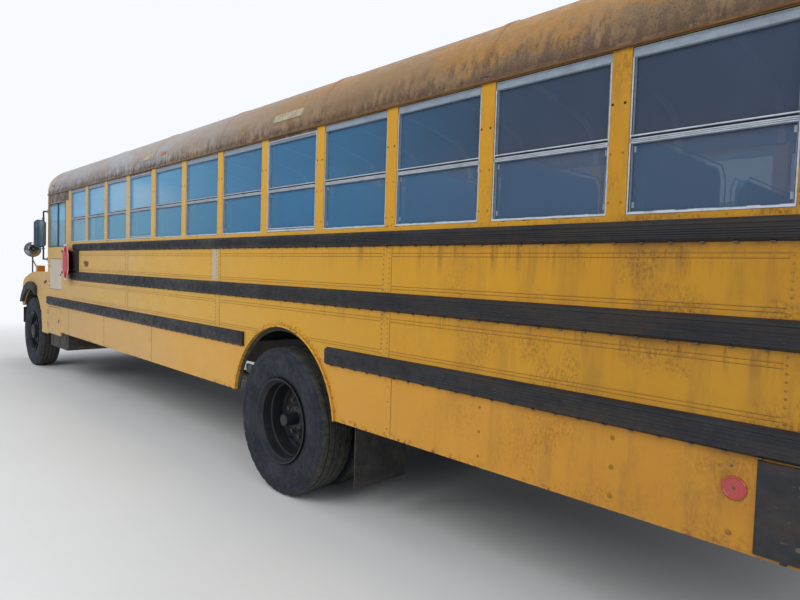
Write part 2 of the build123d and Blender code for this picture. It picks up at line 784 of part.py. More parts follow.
def build_front_wheel(side):
    """Front tyre and its rim with the hub, turning on the knuckle's stub axle."""
    y = side * front_track_half
    tyre = place_wheel(tyre_profile(y, 0), front_axle_x)
    bore = spindle_radius + kingpin_play
    rim = rim_profile(y, y, side, bore)
    hub = disc_y(0, sorted((y, y + side * 130)), 0, 105)
    hub -= disc_y(0, sorted((y - side * 10, y + side * 100)), 0, bore)
    return tyre, place_wheel(rim + hub, front_axle_x)


def build_dual_wheels(side):
    """Two tyres and two rims on one hub, bolted back to back between the tyres."""
    outer_y = side * rear_outer_y
    inner_y = side * (rear_outer_y - dual_spacing)
    tyres = [place_wheel(tyre_profile(outer_y, side), rear_axle_x), place_wheel(tyre_profile(inner_y, 0), rear_axle_x)]
    bore = spindle_radius + kingpin_play
    depth = tyre_width * 0.36
    outer = rim_profile(outer_y, outer_y - side * depth, side, bore)
    inner = rim_profile(inner_y, inner_y + side * depth, -side, bore)
    hub = disc_y(0, sorted((inner_y + side * depth, outer_y + side * 100)), 0, 105)
    hub -= disc_y(0, sorted((inner_y, outer_y + side * 92)), 0, bore)
    return tyres, place_wheel(outer + inner + hub, rear_axle_x)


# Doors and panels that move

door_thick = 34
leaf_frame = 60


def build_entrance_leaf(front):
    """One leaf of the entrance door: a frame round an upper and a lower pane."""
    centre = (doorway_x[0] + doorway_x[1]) / 2
    x = (centre + 4, doorway_x[1] - panel_gap) if front else (doorway_x[0] + panel_gap, centre - 4)
    y = (-side_y, -side_y + door_thick)
    z = (doorway_z[0] + panel_gap, doorway_z[1] - panel_gap)
    leaf = block(x, y, z)
    inner = (x[0] + leaf_frame, x[1] - leaf_frame)
    panes = []
    for low, high in ((z[0] + 150, 1330), (1430, z[1] - 80)):
        leaf -= block(inner, (-2 * side_y, 0), (low, high))
        panes.append(block(inner, (y[0] + 14, y[0] + 14 + glass_thick), (low, high)))
    for fixed, moving in leaf_hinges(front):
        leaf += moving
    return leaf, panes


def build_rear_door():
    """Rear emergency door with an upper and a lower pane and a bar handle."""
    x = (body_rear_x, body_rear_x + wall)
    y = (-rear_door_y + panel_gap, rear_door_y - panel_gap)
    z = (rear_door_z[0] + panel_gap, rear_door_z[1] - panel_gap)
    door = block(x, y, z)
    panes = []
    for low, high in ((1290, 1700), (1860, 2360)):
        door -= block((-everywhere, 0), (-360, 360), (low, high))
        panes.append(block((x[0] + 18, x[0] + 23), (-360, 360), (low, high)))
    door += block((body_rear_x - 30, body_rear_x + 1), (380, 440), (1760, 1800))
    for fixed, moving in rear_hinges():
        door += moving
    return door, panes


def build_battery_door():
    x = (battery_x[0] + panel_gap, battery_x[1] - panel_gap)
    door = block(x, (side_y - 22, side_y), (battery_z[0], battery_z[1] - panel_gap))
    for fixed, moving in hatch_hinges(battery_x[1] - panel_gap / 2, battery_hinge_levels):
        door += moving
    return door


def build_electric_door():
    x = (electric_x[0] + panel_gap, electric_x[1] - panel_gap)
    z = (electric_z[0] + panel_gap, electric_z[1] - panel_gap)
    door = block(x, (side_y - 20, side_y), z)
    for fixed, moving in hatch_hinges(electric_x[1] - panel_gap / 2, electric_hinge_levels):
        door += moving
    return door


# Stop arm

sign_flats = 457
sign_front_x = first_post_x + 162
sign_offset = 38
sign_toe_out = 6.6
sign_thick = 5
sign_z = 1616
sign_rod_radius = 8
sign_ear_gap = 30
sign_ear_height = 28


def build_stop_sign():
    """Eight-sided blade hinged along its front edge, resting slightly toed out."""
    half = sign_flats / 2
    corner = half * tan(radians(22.5))
    points = [(0, -corner), (-half + corner, -half), (-half - corner, -half), (-2 * half, -corner),
              (-2 * half, corner), (-half - corner, half), (-half + corner, half), (0, corner)]
    blade = along_y(points, 0, sign_thick)
    blade += Cylinder(sign_rod_radius, 2 * (corner + sign_ear_gap))
    return Pos(sign_front_x, side_y + sign_offset, sign_z) * Rot(0, 0, -sign_toe_out) * blade


def build_stop_housing():
    """Black housing of the stop arm's drive, with the hinge's two ears."""
    x = (first_post_x - 390, first_post_x + 130)
    case = block(x, (side_y, side_y + 24), (1505, 1760))
    case += block((first_post_x - 60, x[1]), (side_y, side_y + 24), (1472, 1506))
    corner = sign_flats / 2 * tan(radians(22.5))
    for level in (1, -1):
        near = corner + sign_ear_gap + seat_gap
        z = sorted((sign_z + level * near, sign_z + level * (near + sign_ear_height)))
        ear = block((sign_front_x - 16, sign_front_x + 16), (side_y, side_y + sign_offset + 14), z)
        case += ear
        case += block((x[0] + 380, sign_front_x + 16), (side_y, side_y + 16), z)
    return case


# Hood

hood_gap = 38
hood_rear_x = body_front_x + hood_gap
hood_front_x = front_axle_x + 604
hood_sheet = 14
hood_rear_z = 1740
hood_front_z = 1470
fender_y = 1165
arch_front_z = 600
arch_front_radius = 590


def hood_core(inset):
    """Centre of the hood: a tapered box with rounded shoulders."""
    # columns: station, half width, top height, shoulder radius
    rows = [(hood_rear_x - (20 if inset else 0), 690, hood_rear_z, 130),
            (hood_front_x - inset, 600, hood_front_z, 130)]
    faces = []
    for x, half, top, radius in rows:
        half -= inset
        top -= inset
        radius -= inset
        bottom = 900 - (50 if inset else 0)
        k = radius * (1 - cos(radians(45)))
        pts = [(x, half, bottom), (x, half, top - radius), (x, half - k, top - k), (x, half - radius, top)]
        left = [Line(pts[0], pts[1]), ThreePointArc(pts[1], pts[2], pts[3])]
        mpts = [(px, -py, pz) for px, py, pz in pts]
        right = [ThreePointArc(mpts[3], mpts[2], mpts[1]), Line(mpts[1], mpts[0])]
        edges = [*left[0].edges(), *left[1].edges(), *Line(pts[3], mpts[3]).edges(), *right[0].edges(),
                 *right[1].edges(), *Line(mpts[0], pts[0]).edges()]
        faces.append(make_face(Wire(edges)))
    return loft(faces, ruled=True)


def fender_block(side, inset):
    """Fender side form: crowned top, rounded nose and the drop behind the wheel."""
    rear = hood_rear_x - (20 if inset else 0)
    front = hood_front_x - inset
    low = 573 - (50 if inset else 0)
    bottom = 900 - (50 if inset else 0)
    top_rear = 1390 - inset
    top_mid = 1452 - inset
    top_front = 1330 - inset
    nose = hood_front_x - 120
    drop = front_axle_x - 546
    lines = [Line((rear, 0, low), (rear, 0, top_rear)),
             ThreePointArc((rear, 0, top_rear), (front_axle_x - 96, 0, top_mid), (nose, 0, top_front)),
             ThreePointArc((nose, 0, top_front), (front - 22, 0, 1240), (front, 0, 1120)),
             Line((front, 0, 1120), (front, 0, bottom)),
             Line((front, 0, bottom), (drop, 0, bottom)),
             Line((drop, 0, bottom), (drop - 40, 0, low)),
             Line((drop - 40, 0, low), (rear, 0, low))]
    edges = []
    for line in lines:
        edges.extend(line.edges())
    face = make_face(Wire(edges))
    start = 500
    width = fender_y - inset - start
    body = extrude(face, amount=width, dir=(0, 1, 0))
    body = Pos(0, start, 0) * body
    return body if side > 0 else mirror(body, about=Plane.XZ)


grille_y = 430
grille_z = (930, 1380)
lamp_y = (700, 1010)
lamp_z = (1020, 1190)


def build_hood():
    """Hood and fenders in one shell, open below and behind, with wheel arches, grille and lamp openings."""
    outer = hood_core(0)
    inner = hood_core(hood_sheet)
    for side in (-1, 1):
        outer += fender_block(side, 0)
        inner += fender_block(side, hood_sheet)
    shell = outer - inner
    shell -= disc_y(front_axle_x, (-2000, 2000), arch_front_z, arch_front_radius)
    shell -= block((hood_front_x - 60, hood_front_x + 60), (-grille_y, grille_y), grille_z)
    for side in (-1, 1):
        y = sorted((side * lamp_y[0], side * lamp_y[1]))
        shell -= block((hood_front_x - 60, hood_front_x + 60), y, lamp_z)
    ear = [(hood_front_x - 10, 901), (hood_front_x - 10, 929), (hood_pivot_x - 6, 929), (hood_pivot_x + 14, 900),
           (hood_pivot_x + 14, hood_pivot_z - 12), (hood_pivot_x - 14, hood_pivot_z - 12)]
    for side in (-1, 1):
        shell += along_y(ear, side * hood_ear_y[0], side * hood_ear_y[1])
    shell -= disc_y(hood_pivot_x, (-everywhere, everywhere), hood_pivot_z, hood_pin_radius + kingpin_play)
    return shell


def build_grille():
    """Upright frame with horizontal bars, set in the hood's front opening."""
    x = (hood_front_x - 26, hood_front_x - 4)
    gap = seat_gap
    y = (-grille_y + gap, grille_y - gap)
    z = (grille_z[0] + gap, grille_z[1] - gap)
    frame = block(x, y, z)
    bars = 9
    border = 24
    pitch = (z[1] - z[0] - border) / bars
    for number in range(bars):
        low = z[0] + border + pitch * number
        frame -= block((x[0] - 1, x[1] + 1), (y[0] + border, y[1] - border), (low, low + pitch - 18))
    return frame


def build_headlamps():
    """Rectangular lamps in the fender fronts."""
    x = (hood_front_x - 40, hood_front_x - 2)
    gap = seat_gap
    lamps = []
    for side in (-1, 1):
        y = sorted((side * (lamp_y[0] + gap), side * (lamp_y[1] - gap)))
        lamps.append(block(x, y, (lamp_z[0] + gap, lamp_z[1] - gap)))
    return lamps


def build_wheel_flares():
    """Black half-ring flares round the front wheel openings."""
    flares = []
    ring = disc_y(front_axle_x, (fender_y + seat_gap, fender_y + 42), arch_front_z, 700)
    ring -= disc_y(front_axle_x, (0, 2000), arch_front_z, arch_front_radius)
    ring &= block((front_axle_x - 300, hood_front_x - 2), (-everywhere, everywhere), (960, everywhere))
    flares.extend(both(ring))
    return flares


fender_lamp_x = front_axle_x - 146


def build_fender_lamps():
    """Amber turn lamps standing on the fender crowns."""
    lamp = block((fender_lamp_x - 45, fender_lamp_x + 45), (1030, 1140), (1400, 1552))
    lamp = fillet(lamp.edges().filter_by(Axis.Z), 18)
    lamp -= Pos(0, 0, seat_gap) * fender_block(1, 0)
    return both(lamp)


fender_mirror_x = front_axle_x + 304


def build_fender_mirrors():
    """Convex mirrors on braced posts at the fender fronts."""
    x = fender_mirror_x
    y = 1090
    head_z = 1800
    # columns: place along the axis, radius
    rows = [(-34, 0), (-34, 60), (-8, 118), (12, 118), (40, 0)]
    section = make_face(Polyline(*[(along, 0, radius) for along, radius in rows], close=True))
    head = Pos(x, y, head_z) * revolve(section, axis=Axis.X)
    stand = rod((x + 4, y, 1380), (x + 4, y, head_z - 60), 10)
    stand += rod((x + 4, y, 1640), (x - 240, y - 60, 1400), 8)
    stand -= Pos(0, 0, seat_gap) * fender_block(1, 0)
    return both(head + stand)


def build_side_mirrors():
    """Rectangular driving mirrors on tube loops from the corner posts."""
    x = body_front_x + 60
    near = side_y
    far = side_y + 140
    outline = [(near + 35, 1817), (far - 35, 1817), (far, 1852), (far, 2171), (far - 35, 2206), (near + 35, 2206),
               (near, 2171), (near, 1852)]
    head = along_x(outline, x - 35, x + 35)
    arm_y = side_y + 25
    tube = rod((x, arm_y, 1640), (x, arm_y, 2330), 11)
    upper = rod((body_front_x - 20, side_y - 40, 2330), (x, arm_y, 2330), 11)
    lower = rod((body_front_x - 20, side_y - 40, 1650), (x, arm_y, 1650), 11)
    return both((head + tube + upper + lower) - envelope(-seat_gap))


plate_hole_y = 177.8
plate_hole_z = 120.65
plate_hole_radius = 3.5


def build_front_bumper():
    """Channel bumper with its ends swept back and four holes for a plate bracket."""
    front = overall_length / 2
    z = (617, 862)
    # columns: distance back from the face, distance from the middle
    outer = [(0, 880), (-60, 1110), (-bumper_depth, 1147)]
    plate = bumper_plate
    inner = [(-plate, 876), (-60 - plate + 2, 1100), (-bumper_depth - 80, 1137)]
    outlines = []
    for rows in (outer, inner):
        left = [(front + back, y) for back, y in rows]
        outlines.append(left + [(x, -y) for x, y in reversed(left)])
    bumper = along_z(outlines[0], *z) - along_z(outlines[1], z[0] + plate, z[1] - plate)
    middle_z = (z[0] + z[1]) / 2
    for y in (-plate_hole_y / 2, plate_hole_y / 2):
        for hole_z in (middle_z - plate_hole_z / 2, middle_z + plate_hole_z / 2):
            bumper -= disc_x((front - plate - 5, front + 5), y, hole_z, plate_hole_radius)
    return bumper


def build_rear_bumper():
    """Plate bumper that wraps both rear corners."""
    rear = -overall_length / 2
    z = (676, 1005)
    front_end = first_post_x - 7992
    out = side_y + 12
    outer = rounded_outline((rear, -out), (front_end, out), (plan_radius_rear, 0, 0, plan_radius_rear))
    inset = 12 - seat_gap
    inner = rounded_outline((rear + 12, -out + inset), (front_end + 100, out - inset),
                            (plan_radius_rear - inset, 0, 0, plan_radius_rear - inset))
    bar = extrude(outer, amount=z[1] - z[0], dir=(0, 0, 1)) - extrude(inner, amount=z[1] - z[0], dir=(0, 0, 1))
    return Pos(0, 0, z[0]) * bar


# Inside the cabin

bench_width = 990
bench_wall_gap = 12
back_top = 1140


def bench_rows():
    """Stations of the seat backs' front faces at cushion height."""
    return [post_x(index + 1) for index in range(window_count)]


def build_seat_backs():
    """High padded backs with their top corners cut off."""
    backs = []
    thick = 85
    low = floor_z + 330
    high = floor_z + back_top
    for x in bench_rows():
        centre_y = side_y - wall - bench_wall_gap - bench_width / 2
        half = bench_width / 2
        outline = [(-half, low), (half, low), (half, high - 70), (half - 70, high), (70 - half, high),
                   (-half, high - 70)]
        backs.extend(both(Pos(0, centre_y, 0) * along_x(outline, x - thick, x)))
    return backs


def build_seat_cushions():
    """Bench cushions in front of the backs."""
    cushions = []
    depth = 370
    thick = 120
    for x in bench_rows():
        y = side_y - wall - bench_wall_gap
        cushion = block((x + seat_gap, x + depth), (y - bench_width, y), (floor_z + 320, floor_z + 320 + thick))
        edges = [e for e in cushion.edges().filter_by(Axis.Y) if e.center().X > x + 100]
        cushions.extend(both(chamfer(edges, 30)))
    return cushions


def build_seat_frames():
    """Seat pedestals: an aisle leg pair and a wall bracket under each bench."""
    frames = []
    for x in bench_rows():
        y = side_y - wall - bench_wall_gap
        top = floor_z + 320 - seat_gap
        tray = block((x - 20, x + 350), (y - bench_width + 30, y - 10), (top - 30, top))
        for leg_x in (x + 30, x + 300):
            over_wheel = abs(leg_x - rear_axle_x) < house_half + 20
            wall_foot = (house_top if over_wheel else floor_z) + seat_gap
            aisle = (y - bench_width + 60, y - bench_width + 90)
            tray += block((leg_x - 15, leg_x + 15), aisle, (floor_z + seat_gap, top))
            tray += block((leg_x - 15, leg_x + 15), (y - 60, y - 30), (wall_foot, top))
        frames.extend(both(tray))
    return frames


def build_driver_seat():
    """Driver's seat: pedestal, cushion and back in one piece."""
    x = body_front_x - 1040
    y = 560
    seat = block((x - 160, x + 160), (y - 140, y + 140), (floor_z + seat_gap, floor_z + 320))
    seat += block((x - 250, x + 230), (y - 240, y + 240), (floor_z + 319, floor_z + 430))
    seat += block((x - 330, x - 230), (y - 240, y + 240), (floor_z + 360, floor_z + 1000))
    return seat


def build_dashboard():
    """Dashboard across the front wall with its raised instrument panel."""
    x = body_front_x - wall - seat_gap
    board = block((x - 330, x), (-560, 1080), (1420, 1700))
    board += along_y([(x - 329, 1500), (x - 329, 1700), (x - 400, 1640), (x - 400, 1540)], 220, 900)
    return board


def build_steering_wheel():
    """Four-bar steering wheel on a column that stands on the floor behind the dashboard."""
    x = body_front_x - wall - seat_gap - 330
    column = rod((x - 80, 560, floor_z - 20), (x - 165, 560, 1660), 28)
    ring = Cylinder(228, 24) - Cylinder(204, 60)
    wheel = ring + Cylinder(45, 30) + Box(420, 24, 12) + Box(24, 420, 12)
    wheel = Pos(x - 175, 560, 1672) * Rot(0, -40, 0) * wheel
    return (column + wheel) - block((x - 200, x), (500, 620), (0, floor_z + seat_gap))


# Lamps

def lamp_disc(x, y, z, radius):
    """A lamp lens, sixteen-sided so that the many lamps stay light."""
    count = 16
    turns = [radians(360 / count * (step + 0.5)) for step in range(count)]
    return along_x([(y + radius * cos(turn), z + radius * sin(turn)) for turn in turns], *x)


def build_red_lamps():
    """Outer warning lamps, tail lamps and rear clearance lamps."""
    lamps = []
    for side in (-1, 1):
        lamps.append(lamp_disc((body_rear_x - 34, body_rear_x - seat_gap), side * 930, 2640, 88))
        lamps.append(lamp_disc((body_front_x + seat_gap, body_front_x + 34), side * 930, 2640, 88))
        lamps.append(lamp_disc((body_rear_x - 34, body_rear_x - seat_gap), side * 960, 1420, 88))
        lamps.append(lamp_disc((body_rear_x - 30, body_rear_x - seat_gap), side * 960, 1640, 50))
    return lamps


def build_amber_lamps():
    """Inner warning lamps."""
    lamps = []
    for side in (-1, 1):
        lamps.append(lamp_disc((body_rear_x - 34, body_rear_x - seat_gap), side * 700, 2640, 88))
        lamps.append(lamp_disc((body_front_x + seat_gap, body_front_x + 34), side * 700, 2640, 88))
        lamps.append(lamp_disc((body_rear_x - 34, body_rear_x - seat_gap), side * 760, 1420, 70))
    return lamps


keep("frame_rails", build_frame_rails())
keep("front_axle", build_front_axle())
keep("driveline", build_driveline())
keep("engine_block", build_engine())
keep("fuel_tank", build_fuel_tank())
keep("exhaust", build_exhaust())
keep("floor", build_floor())
keep("floor_sills", build_floor_sills())
keep("wheelhouses", build_wheelhouses())
keep("stepwell", build_stepwell())
keep("entrance_frame", build_entrance_frame())
keep("mud_flaps", build_mud_flaps())
keep("skirts", build_skirts())
keep("side_left", build_side(1))
keep("side_right", build_side(-1))
keep("window_posts", build_window_posts())
keep("window_sashes", build_sashes())
keep("body_glass", build_body_glass())
keep("rub_rails", build_rub_rails())
keep("roof", build_roof())
keep("front_wall", build_front_wall())
keep("rear_wall", build_rear_wall())
keep("front_bumper", build_front_bumper())
keep("rear_bumper", build_rear_bumper())
keep("seat_backs", build_seat_backs())
keep("seat_cushions", build_seat_cushions())
keep("seat_frames", build_seat_frames())
keep("driver_seat", build_driver_seat())
keep("dashboard", build_dashboard())
keep("steering_wheel", build_steering_wheel())
keep("side_mirrors", build_side_mirrors())
keep("lamps_red", build_red_lamps())
keep("lamps_amber", build_amber_lamps())
keep("stop_arm_housing", build_stop_housing())
keep("stop_sign", build_stop_sign())
for side, label in ((1, "left"), (-1, "right")):
    keep("knuckle_" + label, build_knuckle(side))
    tyre, rim = build_front_wheel(side)
    keep("tyre_front_" + label, tyre)
    keep("rim_front_" + label, rim)
    tyres, rims = build_dual_wheels(side)
    keep("tyres_rear_" + label, tyres)
    keep("rims_rear_" + label, rims)
keep("tie_rod", build_tie_rod())
for front, label in ((True, "front"), (False, "rear")):
    leaf, panes = build_entrance_leaf(front)
    keep("entrance_door_" + label, leaf)
    keep("entrance_glass_" + label, panes)
door, panes = build_rear_door()
keep("rear_door", door)
keep("rear_door_glass", panes)
keep("battery_door", build_battery_door())
keep("electrical_door", build_electric_door())
keep("hood", build_hood())
keep("grille", build_grille())
keep("headlamps", build_headlamps())
keep("wheel_flares", build_wheel_flares())
keep("fender_lamps", build_fender_lamps())
keep("fender_mirrors", build_fender_mirrors())

os.makedirs("parts", exist_ok=True)
for name, shape in parts.items():
    export_step(shape, "parts/" + name + ".step")
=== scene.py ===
import json
import random
from math import asin, cos, degrees, pi, radians, sin, sqrt, tan
import bpy
import bmesh
import numpy as np
from mathutils import Matrix, Quaternion, Vector


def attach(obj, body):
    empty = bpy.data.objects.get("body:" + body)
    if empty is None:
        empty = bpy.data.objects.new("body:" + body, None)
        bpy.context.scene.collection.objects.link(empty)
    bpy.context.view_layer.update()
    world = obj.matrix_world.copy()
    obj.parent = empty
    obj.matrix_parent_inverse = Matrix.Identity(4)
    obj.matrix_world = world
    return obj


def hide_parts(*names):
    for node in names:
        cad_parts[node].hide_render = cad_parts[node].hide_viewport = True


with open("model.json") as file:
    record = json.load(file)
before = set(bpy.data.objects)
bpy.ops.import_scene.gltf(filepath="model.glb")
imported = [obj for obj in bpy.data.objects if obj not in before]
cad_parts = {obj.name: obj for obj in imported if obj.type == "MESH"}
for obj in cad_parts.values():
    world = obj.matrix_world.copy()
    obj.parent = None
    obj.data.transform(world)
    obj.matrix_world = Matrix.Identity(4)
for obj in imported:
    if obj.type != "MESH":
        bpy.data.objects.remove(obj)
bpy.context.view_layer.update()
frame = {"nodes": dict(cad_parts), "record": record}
chance = random.Random(7)

# Sizes shared with the solids, in metres
FIRST_POST = 2.792
PITCH = 0.675
SIDE = 1.197
SILL = 1.876
GUTTER = 2.560
CROWN = 3.0616
WINDOW_TOP = 2.545
REAR = -5.510
FRONT = 3.899
FRONT_AXLE = 4.846
REAR_AXLE = -2.164
AXLE = 0.527
ARCH_X = REAR_AXLE - 0.030
ARCH_Z = 0.577
SIGN_Z = 1.616
SIGN_HALF = 0.2285
BACKDROP = (0.93, 0.96, 1.0)


def post(index):
    return FIRST_POST - PITCH * index


# Camera, light and floor

def put_in_scene(name, data):
    obj = bpy.data.objects.new(name, data)
    bpy.context.scene.collection.objects.link(obj)
    return obj

def aim(obj, direction):
    obj.rotation_euler = Vector(direction).to_track_quat("-Z", "Y").to_euler()


def make_camera():
    data = bpy.data.cameras.new("camera")
    camera = put_in_scene("camera", data)
    camera.location = (-5.7913, 3.5338, 1.6169)
    yaw = radians(44.19)
    pitch = radians(2.64)
    roll = radians(1.78)
    forward = Vector((cos(yaw) * cos(pitch), -sin(yaw) * cos(pitch), -sin(pitch)))
    turn = forward.to_track_quat("-Z", "Y") @ Quaternion((0, 0, 1), roll)
    camera.rotation_euler = turn.to_euler()
    focal_pixels, photo_width = 598.1, 800
    data.sensor_width = 36
    data.lens = focal_pixels / photo_width * data.sensor_width
    data.clip_end = 300
    bpy.context.scene.camera = camera


def area_light(name, place, target, size, power, glossy=True):
    data = bpy.data.lights.new(name, "AREA")
    data.shape = "RECTANGLE"
    data.size = size[0]
    data.size_y = size[1]
    data.energy = power
    light = put_in_scene(name, data)
    light.location = place
    light.visible_glossy = glossy
    aim(light, Vector(target) - Vector(place))


def make_world():
    world = bpy.data.worlds.new("world")
    bpy.context.scene.world = world
    world.use_nodes = True
    tree = world.node_tree
    back = tree.nodes["Background"]
    back.inputs["Color"].default_value = (0.80, 0.88, 1.0, 1)
    back.inputs["Strength"].default_value = 0.45
    shown = tree.nodes.new("ShaderNodeBackground")
    shown.inputs["Color"].default_value = (*BACKDROP, 1)
    shown.inputs["Strength"].default_value = 1.0
    path = tree.nodes.new("ShaderNodeLightPath")
    either = tree.nodes.new("ShaderNodeMath")
    either.operation = "MAXIMUM"
    tree.links.new(path.outputs["Is Camera Ray"], either.inputs[0])
    tree.links.new(path.outputs["Is Transmission Ray"], either.inputs[1])
    mix = tree.nodes.new("ShaderNodeMixShader")
    tree.links.new(either.outputs[0], mix.inputs[0])
    tree.links.new(back.outputs[0], mix.inputs[1])
    tree.links.new(shown.outputs[0], mix.inputs[2])
    tree.links.new(mix.outputs[0], tree.nodes["World Output"].inputs["Surface"])


class Look:
    """A procedural material on one Principled shader, in the object's own coordinates."""

    def __init__(self, name, color, rough, metal=0.0, coat=0.0, alpha=1.0):
        self.mat = bpy.data.materials.new(name)
        self.mat.use_nodes = True
        self.tree = self.mat.node_tree
        self.shader = self.tree.nodes["Principled BSDF"]
        self.put("Base Color", (*color, 1))
        self.put("Roughness", rough)
        self.put("Metallic", metal)
        self.put("Coat Weight", coat)
        self.put("Alpha", alpha)
        self.place = self.new("ShaderNodeTexCoord").outputs["Object"]
        self.height = None

    def new(self, kind):
        return self.tree.nodes.new(kind)

    def link(self, a, b):
        self.tree.links.new(a, b)

    def put(self, socket, value):
        self.shader.inputs[socket].default_value = value

    def feed(self, socket, value):
        """Connects or sets an input."""
        if isinstance(value, bpy.types.NodeSocket):
            self.link(value, socket)
        else:
            socket.default_value = value

    def axis(self, letter):
        split = self.new("ShaderNodeSeparateXYZ")
        self.link(self.place, split.inputs[0])
        return split.outputs[letter]

    def noise(self, scale, stretch=(1, 1, 1), detail=4.0, shift=0.0, rough=0.6):
        mapping = self.new("ShaderNodeMapping")
        mapping.inputs["Scale"].default_value = stretch
        mapping.inputs["Location"].default_value = (shift, shift * 0.7, shift * 1.3)
        self.link(self.place, mapping.inputs["Vector"])
        tex = self.new("ShaderNodeTexNoise")
        tex.inputs["Scale"].default_value = scale
        tex.inputs["Detail"].default_value = detail
        tex.inputs["Roughness"].default_value = rough
        self.link(mapping.outputs[0], tex.inputs["Vector"])
        return tex.outputs["Fac"]

    def cells(self, scale, feature="F1"):
        tex = self.new("ShaderNodeTexVoronoi")
        tex.feature = feature
        tex.inputs["Scale"].default_value = scale
        self.link(self.place, tex.inputs["Vector"])
        return tex.outputs["Distance"]

    def fit(self, value, low, high, start=0.0, end=1.0):
        """Maps low..high to start..end, clamped, with smooth ends."""
        node = self.new("ShaderNodeMapRange")
        node.interpolation_type = "SMOOTHSTEP"
        self.feed(node.inputs["Value"], value)
        node.inputs["From Min"].default_value = low
        node.inputs["From Max"].default_value = high
        node.inputs["To Min"].default_value = start
        node.inputs["To Max"].default_value = end
        return node.outputs["Result"]

    def math(self, op, a, b=0.5):
        node = self.new("ShaderNodeMath")
        node.operation = op
        self.feed(node.inputs[0], a)
        self.feed(node.inputs[1], b)
        return node.outputs[0]

    def mul(self, a, b):
        return self.math("MULTIPLY", a, b)

    def most(self, a, b):
        return self.math("MAXIMUM", a, b)

    def mix(self, fac, a, b):
        node = self.new("ShaderNodeMix")
        node.data_type = "RGBA"
        self.feed(node.inputs["Factor"], fac)
        self.feed(node.inputs[6], a if isinstance(a, bpy.types.NodeSocket) else (*a, 1))
        self.feed(node.inputs[7], b if isinstance(b, bpy.types.NodeSocket) else (*b, 1))
        return node.outputs[2]

    def color(self, socket):
        self.link(socket, self.shader.inputs["Base Color"])

    def rough(self, socket):
        self.link(socket, self.shader.inputs["Roughness"])

    def bump(self, height, strength=0.3, distance=0.002):
        node = self.new("ShaderNodeBump")
        node.inputs["Strength"].default_value = strength
        node.inputs["Distance"].default_value = distance
        self.link(height, node.inputs["Height"])
        if self.height is not None:
            self.link(self.height, node.inputs["Normal"])
        self.height = node.outputs["Normal"]
        self.link(self.height, self.shader.inputs["Normal"])


YELLOW = (0.66, 0.365, 0.024)
RUST = (0.13, 0.045, 0.016)
STAIN = (0.15, 0.068, 0.020)


